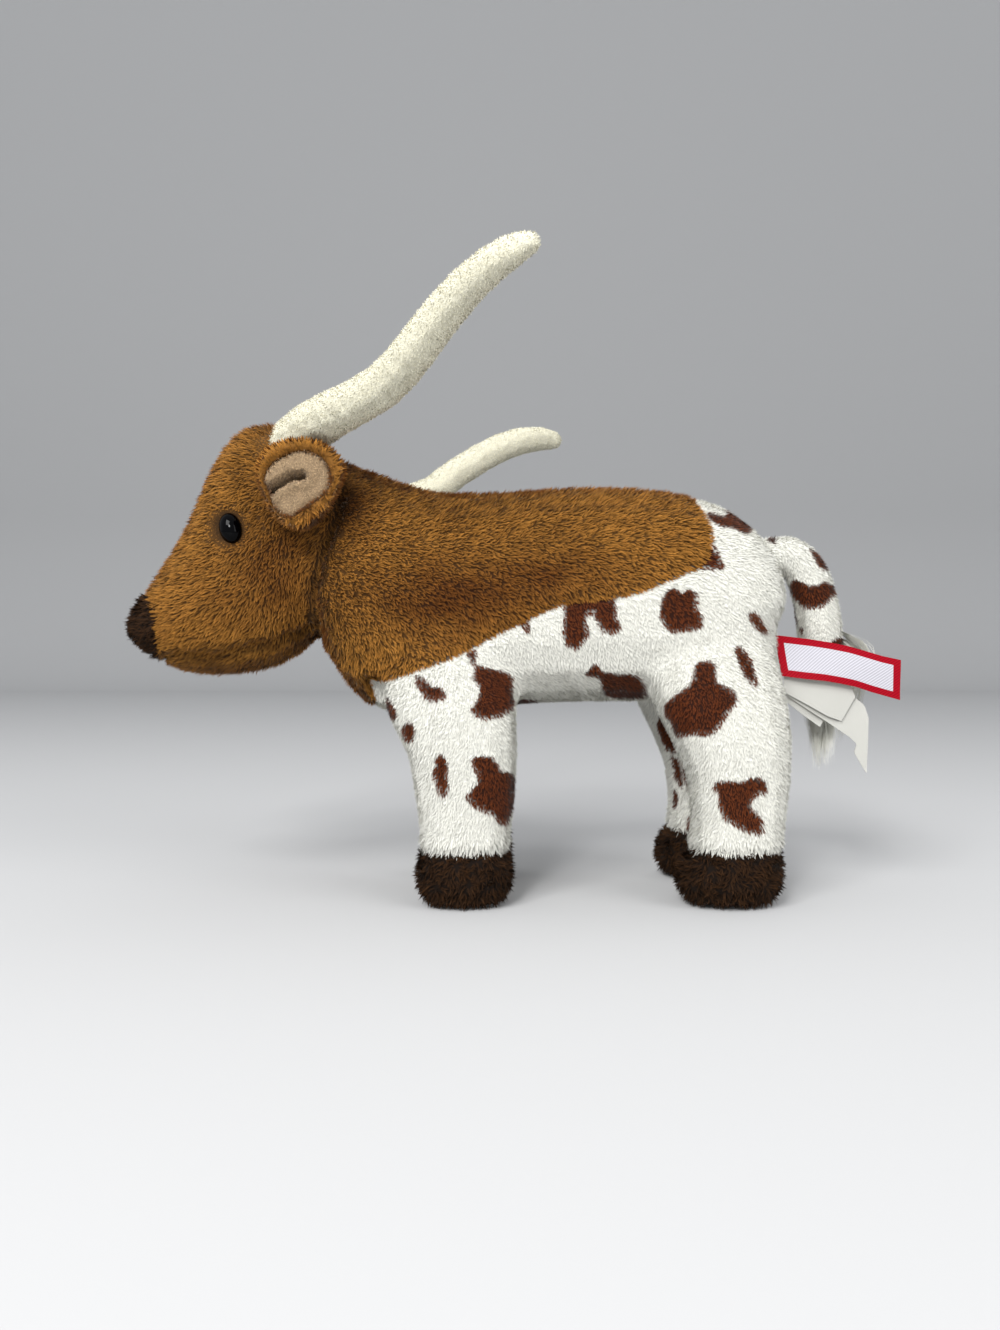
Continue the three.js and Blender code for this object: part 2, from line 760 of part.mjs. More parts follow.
function addEars() {
  ears.forEach((ear) => {
    const earGroup = group("ear_" + ear.name, ear.root);
    const back = earSheet(ear, 0, earBackThickness);
    const root = ball(ear.root, earRootRadius);
    const lining = earSheet(ear, earBackThickness + seamGap, earLiningThickness);
    const rootRoom = ball(ear.root, earRootRadius + seamGap);
    addPiece("ear_back_" + ear.name, back.add(root), material(colours.brown), earGroup);
    addPiece("ear_lining_" + ear.name, lining.subtract(rootRoom), material(colours.tan), earGroup);
  });
}

function addHead() {
  let core = withSeats(solidOf(grown(headInside, -fillingInset)).subtract(torsoKeepOut));
  let skin = solidOf(head).subtract(solidOf(grown(headInside, -skinThickness)));
  skin = withSeats(skin.subtract(torsoKeepOut));
  eyes.forEach((eye) => {
    const pocket = eyePocket(eye);
    core = core.subtract(pocket.hole).subtract(pocket.room);
    skin = skin.subtract(pocket.hole).subtract(pocket.room);
  });
  addPiece("head_filling", core, material(colours.stuffing), headGroup);

  const noseArea = sideOutline([...noseSeamShares, ...noseFrontShares].map(onHead), ...across);
  const noseReach = noseArea.add(noseArea.translate([seamGap, 0, 0]));
  const chinArea = sideOutline([...chinSeamShares, ...chinLowShares].map(onHead), ...across);
  const chinReach = chinArea.add(chinArea.translate([0, 0, seamGap]));
  addPiece("nose_cap", skin.intersect(noseArea), material(colours.darkBrown), headGroup);
  const face = skin.subtract(noseReach);
  addPiece("chin_panel", face.intersect(chinArea), material(colours.brown), headGroup);
  Object.entries(sides).forEach(([name, side]) => {
    const half = face.subtract(chinReach).intersect(sideBand(side));
    addPiece("face_" + name, half, material(colours.brown), headGroup);
  });
}

function addHorns() {
  horns.forEach((horn) => {
    const hornGroup = group("horn_" + horn.name, horn.root);
    const shape = [horn.path, hornRadiusShares[horn.name], hornRadius];
    const outside = tubeForm(...shape, 0, detail.tube);
    const bore = tubeForm(...shape, hornSkin, detail.tubeInside, true);
    const core = tubeForm(...shape, hornSkin + seamGap, detail.tubeInside);
    const cover = solidOf(outside).subtract(solidOf(bore));
    addPiece("horn_" + horn.name + "_cover", cover, material(colours.horn), hornGroup);
    addPiece("horn_" + horn.name + "_filling", solidOf(core), material(colours.stuffing), hornGroup);
  });
}

function addTail() {
  const { root, path } = tail;
  const tailGroup = group("tail", root);
  const shape = [path, tailRadiusShares, tailRadius];
  const outside = solidOf(tubeForm(...shape, 0, detail.tube));
  const bore = solidOf(tubeForm(...shape, tailSkin, detail.tubeInside, true));
  const core = solidOf(tubeForm(...shape, tailSkin + seamGap, detail.tubeInside));
  const rump = torsoKeepOut.subtract(tailSeat());
  const cover = outside.subtract(bore).subtract(rump);
  const filling = core.subtract(rump);
  addPiece("tail_cover", cover, material(colours.white), tailGroup);
  addPiece("tail_filling", filling, material(colours.stuffing), tailGroup);

  const end = path.at(-1);
  const tuftTop = end.z - tailRadiusShares.at(-1) * tailRadius - seamGap;
  const rings = tuftRadiusShares.map((share, index) => {
    const height = tuftTop - (index / (tuftRadiusShares.length - 1)) * tuftLength;
    const middle = new THREE.Vector3(end.x, 0, height);
    const size = share * tuftRadius;
    return section(middle, new THREE.Vector3(size, 0, 0), new THREE.Vector3(0, size, 0), 1, detail.tube[1]);
  });
  addPiece("tail_tuft", solidOf(formThrough(rings)), material(colours.white), tailGroup);
}

// Labels: flat woven strips, sewn by one short edge beside the tail.
function labelPlate(length, width, thickness) {
  return new THREE.BoxGeometry(length, thickness, width).translate(length / 2, 0, 0);
}

function addLabels() {
  const rootY = (-labelRootShares.y * torsoWidth) / 2;
  const behind = [torso, legs.find((leg) => leg.title === "hind_left").outside];
  const rootAt = (z, height) =>
    new THREE.Vector3(rearOf(behind, rootY, z, height) + labelStandOff, rootY, z);

  const root = rootAt(labelRootShares.z * backHeight, wovenLabelWidth);
  const wovenGroup = group("woven_label", root);
  const woven = labelPlate(wovenLabelLength, wovenLabelWidth, wovenLabelThickness).rotateY(wovenLabelTilt);
  woven.translate(...root.toArray());
  const satin = material(colours.red, roughnesses.satin);
  addPiece("woven_label", solidOfGeometry(woven).subtract(torsoKeepOut), satin, wovenGroup);

  const careRootWidth = (careLabelShares[0][0][1] - careLabelShares[0][1][1]) * careLabelWidth;
  const careRoot = rootAt(root.z - careLabelRootDropShare * wovenLabelWidth, careRootWidth);
  const careGroup = group("care_labels", careRoot);
  careLabelShares.forEach((outline, index) => {
    const corners = outline.map(([along, up]) => [
      careRoot.x + along * careLabelLength,
      careRoot.z + up * careLabelWidth,
    ]);
    const nearY = careRoot.y + (index + 1) * labelSpacing - careLabelThickness / 2;
    const leaf = sideOutline(corners, nearY, nearY + careLabelThickness).subtract(torsoKeepOut);
    addPiece("care_label_" + (index + 1), leaf, material(colours.white, roughnesses.satin), careGroup);
  });
}

addTorso();
addLegs();
addHead();
addEyes();
addEars();
addHorns();
addTail();
addLabels();

// The origin is on the floor, halfway along the toy and halfway across it.
const middle = new THREE.Box3().setFromObject(toy).getCenter(new THREE.Vector3());
toy.position.set(-middle.x, -middle.y, 0);

export default toy;
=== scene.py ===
import json
import math

import bpy
import numpy as np
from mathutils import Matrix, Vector
from mathutils.bvhtree import BVHTree


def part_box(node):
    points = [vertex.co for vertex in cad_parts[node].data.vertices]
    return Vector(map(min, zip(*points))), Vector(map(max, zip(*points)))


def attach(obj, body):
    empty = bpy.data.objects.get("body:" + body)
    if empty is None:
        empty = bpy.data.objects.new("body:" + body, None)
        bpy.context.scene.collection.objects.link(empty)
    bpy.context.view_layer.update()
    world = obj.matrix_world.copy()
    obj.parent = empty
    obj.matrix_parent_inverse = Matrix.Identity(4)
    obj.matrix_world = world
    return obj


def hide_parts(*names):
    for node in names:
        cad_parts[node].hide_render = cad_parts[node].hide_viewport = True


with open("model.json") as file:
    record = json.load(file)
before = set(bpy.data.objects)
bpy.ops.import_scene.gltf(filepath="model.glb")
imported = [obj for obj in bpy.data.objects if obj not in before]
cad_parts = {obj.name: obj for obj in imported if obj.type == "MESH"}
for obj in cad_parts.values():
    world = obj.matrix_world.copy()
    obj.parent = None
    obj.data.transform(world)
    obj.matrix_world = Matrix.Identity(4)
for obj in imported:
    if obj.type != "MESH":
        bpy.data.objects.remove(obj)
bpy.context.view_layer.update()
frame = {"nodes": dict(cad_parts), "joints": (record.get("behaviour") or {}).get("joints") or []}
bpy.ops.object.select_all(action="DESELECT")

# Lengths below are in millimetres. Places read off the picture are in its own units, 1000 wide.
picture = {
    "distance": 287,  # viewpoint to the toy's middle plane
    "height": 64,
    "scale": 1000,
    "size": (1000, 1330),
    "middle": (500, 665),
    "frontLegX": -9.55,  # of the front leg's middle, from the viewpoint
}
unitSize = 0.27  # one of the picture's units, at the toy's near side
sides = ("left", "right")
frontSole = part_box("hoof_sole_front_left")
viewX = (frontSole[0].x + frontSole[1].x) * 500 - picture["frontLegX"]


def showsAt(places, side=None):  # in the picture's units, from the near side unless a side is named
    far = np.abs(places[:, 1]) if side is None else side * places[:, 1]
    depth = picture["distance"] - far
    u = picture["middle"][0] + (places[:, 0] - viewX) * picture["scale"] / depth
    v = picture["middle"][1] - (places[:, 2] - picture["height"]) * picture["scale"] / depth
    return np.stack([u, v], 1)


def distanceTo(points, corners):  # to an open line
    corners = np.asarray(corners, float)
    nearest = np.full(len(points), 1e9)
    for start, end in zip(corners[:-1], corners[1:]):
        edge = end - start
        offset = points - start
        along = np.clip(offset @ edge / (edge @ edge), 0, 1)
        nearest = np.minimum(nearest, np.hypot(*(offset - along[:, None] * edge).T))
    return nearest


def insideBy(points, corners):  # distance inside a closed outline, negative outside
    corners = np.asarray(corners, float)
    inside = np.zeros(len(points), bool)
    for start, end in zip(corners, np.roll(corners, -1, 0)):
        edge = end - start
        crosses = (start[1] > points[:, 1]) != (end[1] > points[:, 1])
        turn = start[0] + (points[:, 1] - start[1]) * edge[0] / (edge[1] or 1e-9)
        inside ^= crosses & (points[:, 0] < turn)
    nearest = distanceTo(points, np.vstack([corners, corners[:1]]))
    return np.where(inside, nearest, -nearest)


def gapTo(points, place):
    return np.linalg.norm(points - place, axis=1)


def fades(distance, width):  # from 1 where the distance is 0
    return np.exp(-((distance / width) ** 2))


def ripples(places, size, seed, waves=7):  # smooth noise, about -1 to 1
    dice = np.random.default_rng(seed)
    total = np.zeros(len(places))
    for _ in range(waves):
        way = dice.normal(size=3)
        way *= 2 * math.pi / size * dice.uniform(0.6, 1.5) / np.linalg.norm(way)
        total += np.sin(places @ way + dice.uniform(0, 2 * math.pi))
    return total / math.sqrt(waves) / 1.4


def unit(vectors):
    return vectors / np.maximum(np.linalg.norm(vectors, axis=-1, keepdims=True), 1e-9)


def flatten(vectors, normals):  # the part of each vector that lies in the surface
    return vectors - normals * (vectors * normals).sum(1, keepdims=True)


def towards(first, second, angle, far=1):  # the first way, turned by each angle to the second
    return first * (np.cos(angle) * far)[:, None] + second * (np.sin(angle) * far)[:, None]


def smoothStep(values, low, high):
    t = np.clip((values - low) / (high - low), 0, 1)
    return t * t * (3 - 2 * t)


def eased(t):  # fast at first, and 1 from t = 1 on
    return math.sin(min(1, t) * math.pi / 2)


def linear(red, green, blue):  # from screen values of 0 to 255
    return np.array([((c / 255 + 0.055) / 1.055) ** 2.4 if c > 10 else c / 3295 for c in (red, green, blue)])


def meshArrays(obj):
    mesh = obj.data
    mesh.calc_loop_triangles()
    places = np.zeros(len(mesh.vertices) * 3)
    mesh.vertices.foreach_get("co", places)
    triangles = np.zeros(len(mesh.loop_triangles) * 3, np.int32)
    mesh.loop_triangles.foreach_get("vertices", triangles)
    return places.reshape(-1, 3) * 1000, triangles.reshape(-1, 3)


def crossOf(places, triangles):  # along each triangle's normal, and twice its area long
    a, b, c = (places[triangles[:, i]] for i in range(3))
    return np.cross(b - a, c - a)


def vertexNormals(places, triangles):
    faces = crossOf(places, triangles)
    normals = np.zeros_like(places)
    for i in range(3):
        np.add.at(normals, triangles[:, i], faces)
    return unit(normals)


def added(title, data):
    obj = bpy.data.objects.new(title, data)
    bpy.context.collection.objects.link(obj)
    return obj


def newMesh(title, places, triangles, finish, colours=None, normals=None):
    mesh = bpy.data.meshes.new(title)
    mesh.vertices.add(len(places))
    mesh.vertices.foreach_set("co", (places / 1000).astype(np.float32).ravel())
    mesh.loops.add(triangles.size)
    mesh.loops.foreach_set("vertex_index", triangles.astype(np.int32).ravel())
    mesh.polygons.add(len(triangles))
    mesh.polygons.foreach_set("loop_start", np.arange(0, triangles.size, 3, dtype=np.int32))
    mesh.update(calc_edges=True)
    mesh.polygons.foreach_set("use_smooth", np.ones(len(triangles), bool))
    if colours is not None:
        layer = mesh.color_attributes.new(name="yarn", type="FLOAT_COLOR", domain="POINT")
        opaque = np.hstack([colours, np.ones((len(places), 1))])
        layer.data.foreach_set("color", opaque.astype(np.float32).ravel())
    if normals is not None:
        mesh.normals_split_custom_set_from_vertices(normals.astype(np.float32))
    mesh.materials.append(finish)
    return added(title, mesh)


def choose(*chosen):  # the last one is active
    bpy.ops.object.select_all(action="DESELECT")
    for obj in chosen:
        obj.select_set(True)
        bpy.context.view_layer.objects.active = obj


def inEditMode(operator, **settings):  # on the whole active mesh
    bpy.ops.object.mode_set(mode="EDIT")
    bpy.ops.mesh.select_all(action="SELECT")
    operator(**settings)
    bpy.ops.object.mode_set(mode="OBJECT")


def modify(obj, kind, **settings):
    modifier = obj.modifiers.new(kind, kind)
    for name, value in settings.items():
        setattr(modifier, name, value)
    bpy.ops.object.modifier_apply(modifier=modifier.name)


def clothBody(title, nodes, balls=(), voxel=1.3, smoothing=12):  # one smooth closed skin round CAD nodes
    solids = []
    for centre, radius in balls:
        bpy.ops.mesh.primitive_ico_sphere_add(
            subdivisions=3, radius=radius / 1000, location=Vector(centre) / 1000
        )
        bpy.ops.object.transform_apply()
        solids.append(bpy.context.object)
    for node in nodes:
        solids.append(added(title, frame["nodes"][node].data.copy()))
    choose(*solids)
    bpy.ops.object.join()
    skin = bpy.context.object
    inEditMode(bpy.ops.mesh.remove_doubles, threshold=1e-6)
    modify(skin, "REMESH", mode="VOXEL", voxel_size=voxel / 1000)
    modify(skin, "SMOOTH", factor=0.5, iterations=smoothing)
    places, triangles = meshArrays(skin)
    bpy.data.objects.remove(skin)
    return outerShell(places, triangles)


def outerShell(places, triangles):  # without what the fillings leave inside
    parent = np.arange(len(places))
    while True:
        low = parent[triangles].min(1)
        before = parent.copy()
        for i in range(3):
            np.minimum.at(parent, triangles[:, i], low)
        parent = parent[parent]
        if (parent == before).all():
            break
    names, sizes = np.unique(parent[triangles[:, 0]], return_counts=True)
    used, triangles = compact(triangles[parent[triangles[:, 0]] == names[sizes.argmax()]])
    return places[used], triangles


def compact(triangles):  # the places in use, and the triangles by their numbers among these
    used, triangles = np.unique(triangles, return_inverse=True)
    return used, triangles.reshape(-1, 3)


def pressed(places, triangles, depth):  # inwards
    places = places - vertexNormals(places, triangles) * depth[:, None]
    return places, vertexNormals(places, triangles)


fibres = {
    "lean": (0.1, 1.45),
    "lengths": (0.75, 1.2),
    "widths": (0.8, 1.25),
    "rootDepth": 0.15,
    "tipSpread": 0.08,
    "twist": 0.5,
    "toneSpread": 0.05,
    "floor": 0.06,  # none of them goes below this height
    "edgeFloor": 0.05,
}


def growPile(places, triangles, normals, pile, cloth, seed):
    # Tufts of a few tapered fibres each, which share a direction and a tone.
    dice = np.random.default_rng(seed)
    corners = places[triangles]
    areas = np.linalg.norm(crossOf(places, triangles), axis=1) / 2
    counts = np.floor(areas * pile["tufts"] + dice.random(len(areas))).astype(int)
    owner = np.repeat(np.arange(len(areas)), counts)
    first, second = np.sqrt(dice.random(len(owner))), dice.random(len(owner))
    shares = np.stack([1 - first, first * (1 - second), first * second], 1)
    roots = (corners[owner] * shares[:, :, None]).sum(1)
    upright = unit((normals[triangles[owner]] * shares[:, :, None]).sum(1))
    look = cloth(roots, upright)
    size = len(roots)
    swing = dice.normal(size=size) * pile["wander"]
    comb = unit(flatten(look["comb"], upright))
    across = np.cross(upright, comb)
    comb = towards(comb, across, swing)
    across = np.cross(upright, comb)
    lean = pile["lean"] + dice.normal(size=size) * pile["leanSpread"] + look.get("lift", 0)
    lean = np.clip(lean, *fibres["lean"])
    length = pile["length"] * look["length"] * dice.uniform(*fibres["lengths"], size)
    tips = roots + towards(upright, comb, lean) * length[:, None]
    dark = look.get("dark", np.zeros(size))  # where a pale pile's roots are as dark as a brown one's
    tone = 1 + dice.normal(size=size) * np.where(dark > 0.5, shortPile["toneSpread"], pile["toneSpread"])
    count = pile["fibres"]
    n = size * count
    repeat = lambda values: np.repeat(values, count, axis=0)
    angle, far = dice.uniform(0, 2 * math.pi, n), np.sqrt(dice.random(n)) * pile["spread"]
    offset = towards(repeat(across), repeat(comb), angle, far)
    start = repeat(roots) + offset - repeat(upright) * fibres["rootDepth"]
    tipLift = (dice.normal(size=n) * fibres["tipSpread"])[:, None]
    end = repeat(tips) + offset * pile["gather"] + repeat(upright) * tipLift
    for reached in (start, end):
        reached[:, 2] = np.maximum(reached[:, 2], fibres["floor"])
    twist = dice.normal(size=n) * fibres["twist"]
    side = towards(repeat(across), repeat(comb), twist)
    half = (pile["width"] / 2) * dice.uniform(*fibres["widths"], n)[:, None]
    fibre = np.stack([start - side * half, start + side * half, end], 1)
    fibre[:, :, 2] = np.maximum(fibre[:, :, 2], fibres["edgeFloor"])
    facing = np.cross(fibre[:, 1] - fibre[:, 0], fibre[:, 2] - fibre[:, 0])
    wrong = (facing * repeat(upright)).sum(1) < 0
    fibre[wrong] = fibre[wrong][:, [1, 0, 2]]
    facing[wrong] *= -1
    shading = unit(repeat(upright) * pile["softness"] + unit(facing) * (1 - pile["softness"]))
    toneEach = repeat(tone) * (1 + dice.normal(size=n) * fibres["toneSpread"])
    tipColour = repeat(look["colour"]) * toneEach[:, None]
    rootColour = tipColour * repeat(shadeOf("rootShade", pile, dark))[:, None]
    colours = np.stack([rootColour, rootColour, tipColour], 1).reshape(-1, 3)
    return fibre.reshape(-1, 3), np.repeat(shading, 3, axis=0), colours


def shadeOf(kind, pile, dark):
    return pile[kind] * (1 - dark) + shortPile[kind] * dark


def plushPiece(title, body, surface, pile, cloth, finish, seed, nodes):
    places, triangles, normals = surface
    look = cloth(places, normals, True)
    shade = shadeOf("groundShade", pile, look.get("dark", np.zeros(len(places))))
    ground = places, normals, look["colour"] * shade[:, None]
    grown = growPile(places, triangles, normals, pile, cloth, seed)
    allPlaces, allNormals, shades = (np.vstack(pair) for pair in zip(ground, grown))
    faces = np.vstack([triangles, np.arange(len(places), len(allPlaces)).reshape(-1, 3)])
    obj = newMesh(title, allPlaces, faces, finish, np.clip(shades, 0, 1), allNormals)
    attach(obj, body)
    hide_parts(*nodes)
    print(title, len(faces), "triangles")


# Finishes


def plain(title, colour, roughness, **more):
    finish = bpy.data.materials.new(title)
    finish.use_nodes = True
    shader = finish.node_tree.nodes["Principled BSDF"]
    shader.inputs["Base Color"].default_value = (*colour, 1)
    shader.inputs["Roughness"].default_value = roughness
    for name, value in more.items():
        shader.inputs[name].default_value = value
    return finish


def yarnFinish(title, roughness=0.85, sheen=0.25, tint=(1, 1, 1)):
    nap = {"Sheen Weight": sheen, "Sheen Roughness": 0.45, "Sheen Tint": (*tint, 1)}
    finish = plain(title, (0.5, 0.5, 0.5), roughness, **nap, **{"Specular IOR Level": 0.15})
    nodes = finish.node_tree.nodes
    yarn = nodes.new("ShaderNodeAttribute")
    yarn.attribute_name = "yarn"
    finish.node_tree.links.new(yarn.outputs["Color"], nodes["Principled BSDF"].inputs["Base Color"])
    return finish


brownPlush = yarnFinish("brownPlush", sheen=0.14, tint=(0.9, 0.75, 0.55))
whitePlush = yarnFinish("whitePlush", sheen=0.15)
darkPlush = yarnFinish("darkPlush", sheen=0.03, tint=(0.6, 0.4, 0.25))
fleece = yarnFinish("hornFleece", sheen=0.15)

# Body: head, back, flanks and legs in one skin, then split where its fabrics meet

colours = {
    "brown": linear(186, 128, 54),
    # the darker brown: mixed in at random, more of it as painted shade, less as painted light
    "brownDeep": linear(118, 69, 21),
    "white": linear(237, 236, 227),
    "spot": linear(106, 51, 20),
    "dark": linear(53, 32, 13),
    "cream": linear(237, 233, 211),
    "tan": linear(180, 153, 119),
}

neck = [(342, 490), (330, 530), (316, 565), (310, 590), (313, 617)]
outlines = {
    # The brown fabric's lower seam, from the chest to the top of the rump, closed round the head.
    "brown": [
        (0, 712), (374, 712), (375, 698), (372, 688), (369, 678), (379, 681), (397, 677), (420, 669),
        (440, 662), (463, 652), (480, 643), (500, 632), (520, 623), (540, 613), (560, 604), (593, 600),
        (617, 597), (640, 592), (660, 584), (680, 575), (697, 568), (707, 557), (712, 540), (710, 527),
        (703, 513), (693, 501), (690, 490), (690, 300), (0, 300),
    ],
    "nose": [
        (143, 586), (148, 595), (153, 607), (157, 620), (159, 640), (163, 662), (163, 720), (60, 720),
        (60, 560),
    ],
    "head": [(0, 300), (330, 300), (345, 450), *neck, (318, 645), (318, 720), (0, 720)],
}
lines = {
    "neck": [*neck, (318, 640)],
    "chin": [(162, 662), (181, 654), (212, 659), (250, 649), (281, 641), (312, 628)],
}

# Spots that the picture shows, as outlines in its units. The far side has them too, each one turned.
spots = [
    [(416, 674), (422, 676), (427, 681), (433, 686), (441, 686), (445, 690), (447, 698), (443, 700),
     (433, 701), (424, 698), (419, 690), (415, 682)],
    [(408, 720), (413, 723), (416, 730), (414, 740), (409, 742), (404, 737), (402, 730), (404, 723)],
    [(436, 754), (441, 753), (447, 757), (449, 765), (448, 775), (450, 784), (448, 793), (443, 796),
     (438, 791), (436, 782), (432, 775), (435, 765)],
    [(465, 652), (475, 647), (477, 654), (476, 663), (489, 667), (502, 670), (513, 675), (512, 686),
     (513, 694), (516, 699), (513, 708), (502, 715), (493, 717), (485, 720), (476, 716), (470, 709),
     (474, 702), (479, 696), (478, 687), (472, 678), (473, 668), (470, 663)],
    [(471, 759), (476, 755), (486, 754), (494, 756), (497, 763), (502, 770), (510, 771), (522, 771),
     (524, 800), (520, 811), (511, 820), (503, 825), (498, 822), (492, 815), (481, 810), (472, 805),
     (465, 796), (471, 789), (477, 782), (478, 776), (474, 769)],
    [(518, 623), (527, 616), (530, 626), (528, 634), (524, 631)],
    [(561, 603), (563, 615), (562, 623), (562, 635), (566, 644), (572, 649), (578, 648), (583, 642),
     (589, 635), (587, 623), (585, 616), (591, 613), (594, 616), (597, 625), (603, 632), (610, 634),
     (617, 632), (621, 629), (620, 623), (616, 616), (617, 608), (615, 598), (604, 592), (580, 596)],
    [(583, 673), (589, 667), (596, 660), (599, 664), (601, 671), (608, 672), (620, 674), (629, 673),
     (639, 677), (644, 684), (646, 692), (645, 703), (642, 711), (634, 704), (627, 705), (618, 705),
     (608, 702), (603, 696), (601, 689), (598, 678), (593, 677), (586, 676)],
    [(713, 545), (717, 552), (721, 559), (724, 567), (719, 569), (707, 570), (696, 568), (690, 560),
     (704, 545)],
    [(661, 597), (667, 589), (673, 587), (681, 591), (689, 588), (696, 591), (697, 601), (697, 608),
     (703, 616), (703, 623), (697, 630), (686, 630), (675, 633), (667, 631), (662, 622), (658, 615),
     (660, 605)],
    [(748, 612), (752, 610), (758, 613), (763, 622), (768, 632), (765, 634), (758, 630), (751, 623),
     (747, 616)],
    [(733, 650), (736, 644), (742, 647), (749, 655), (753, 664), (756, 675), (757, 684), (753, 686),
     (749, 683), (742, 673), (737, 662)],
    [(661, 709), (664, 704), (675, 694), (687, 686), (692, 680), (693, 666), (698, 661), (704, 659),
     (711, 660), (716, 665), (716, 674), (718, 682), (726, 685), (734, 691), (738, 699), (735, 706),
     (728, 713), (722, 723), (716, 731), (707, 736), (695, 734), (685, 735), (675, 737), (670, 731),
     (671, 724), (663, 717)],
    [(713, 786), (715, 781), (723, 779), (733, 780), (743, 780), (749, 777), (757, 776), (764, 778),
     (767, 784), (767, 791), (763, 793), (754, 796), (751, 802), (752, 808), (759, 814), (763, 821),
     (764, 831), (757, 835), (747, 832), (737, 826), (726, 821), (718, 807), (718, 795)],
]
rootSpot = [(760, 530), (777, 538), (775, 545), (764, 541)]  # shared by the rump and the tail
# These lie at an edge or under the belly, so they have no twin.
edgeSpots = [
    [(382, 690), (388, 696), (394, 704), (398, 713), (396, 719), (392, 717), (387, 706), (384, 697)],
    [(418, 814), (423, 814), (424, 832), (419, 832)],
    [(542, 705), (551, 696), (558, 690), (569, 692), (583, 691), (585, 696), (577, 705), (566, 710),
     (552, 711)],
    [(708, 502), (719, 504), (730, 508), (740, 513), (748, 520), (752, 527), (748, 533), (744, 534),
     (737, 531), (730, 528), (723, 528), (716, 525), (709, 521), (703, 514), (709, 512), (719, 515),
     (724, 516), (725, 513), (718, 509), (709, 506)],
    [(783, 604), (790, 604), (788, 622), (779, 625), (779, 616)],
    [(785, 694), (800, 704), (800, 725), (790, 724), (787, 711)],
    [(680, 757), (685, 757), (688, 770), (691, 790), (688, 791), (684, 776)],
    [(688, 814), (694, 812), (695, 826), (692, 838), (687, 838)],
    [(671, 754), (678, 757), (682, 768), (684, 788), (680, 787), (675, 776)],
    [(654, 752), (661, 757), (667, 795), (660, 796)],
    [(642, 722), (654, 720), (656, 731), (644, 732)],
    rootSpot,
]
# Out of the picture's sight, between the legs and behind: (along, across, up, half size), in millimetres.
hiddenSpots = [
    (18, 4, 52, 5.5), (36, 7, 53, 6), (5, -6, 52, 5.5), (-9, 8, 40, 5.5), (-12, 7, 26, 4.5),
    (-6, -8, 33, 5), (-10, -7, 20, 4), (52, 10, 45, 5.5), (49, 12, 24, 4.5), (50, -10, 40, 5),
    (60, -8, 27, 4.5), (80, 6, 76, 5), (79, 14, 60, 5), (77, 19, 32, 5), (76, -13, 28, 4), (-30, 5, 60, 5),
    (79, -8, 50, 4), (-24, 12, 35, 4),
]
spotReach = (5, 0.45)  # how far a spot keeps its width in depth, and how fast it narrows past that
noSpot = -9.0  # how far inside a spot a place far from all of them counts


def castFrom(tree, side, place):  # where the skin shows at a place in the picture, or its mirror image
    eye = Vector((viewX, side * picture["distance"], picture["height"]))
    across, down = (np.array(place) - picture["middle"]) / picture["scale"]
    return tree.ray_cast(eye, Vector((across, -side, -down)).normalized())


def onPlane(points, out):  # x and z of places in the picture, so far out from the toy's middle
    perUnit = (picture["distance"] - out) / picture["scale"]
    return (np.asarray(points, float) - picture["middle"]) * (perUnit, -perUnit) + (viewX, picture["height"])


def turned(outline, number):
    points = np.array(outline, float)
    angle = math.radians(150 + 65 * number)
    turn = np.array([(math.cos(angle), math.sin(angle)), (-math.sin(angle), math.cos(angle))])
    centre = (points.max(0) + points.min(0)) / 2
    return (points - centre) @ turn * (1, 0.9) + centre


def placedSpots(tree):
    near = [(-1, np.array(outline, float)) for outline in spots + edgeSpots]
    far = [(1, turned(outline, number)) for number, outline in enumerate(spots)]
    found = []
    for side, outline in near + far:
        hit = castFrom(tree, side, (outline.max(0) + outline.min(0)) / 2)[0]
        if hit is not None:
            found.append((side, outline, hit.y))
    return found


def spottedBy(places, drawn, reach):  # how far inside a spot each place is
    spotted = np.full(len(places), noSpot)
    for side, outline, depth in drawn:
        seen = showsAt(places, side)
        past = np.maximum(np.abs(places[:, 1] - depth) - reach[0], 0) * reach[1]
        low, high = outline.min(0) - 4, outline.max(0) + 4
        index = np.flatnonzero(((seen > low) & (seen < high)).all(1) & (past < 6))
        spotted[index] = np.maximum(spotted[index], insideBy(seen[index], outline) * unitSize - past[index])
    return spotted


def spotShare(places, spotBy, seed, ground):  # softer on the ground than on the fibres
    return smoothStep(spotBy + ripples(places, 1.3, seed) * 0.06, *((-0.1, 0.9) if ground else (-0.2, 0.2)))


def blend(first, second, share):
    return colours[first] * (1 - share[:, None]) + colours[second] * share[:, None]


def evenCloth(tone, name, way):  # of one colour, with its pile all one way
    comb = np.tile(way, (len(tone), 1))
    return {"colour": np.outer(tone, colours[name]), "comb": comb, "length": np.ones(len(tone))}


def spottedOutOfSight(places):
    spotted = np.full(len(places), noSpot)
    for x, y, z, size in hiddenSpots:
        gap = np.linalg.norm((places - (x + viewX, y, z)) * (1, 1.2, 0.8), axis=1)
        spotted = np.maximum(spotted, size - gap + 0.5 * ripples(places, 7, 20))
    return spotted


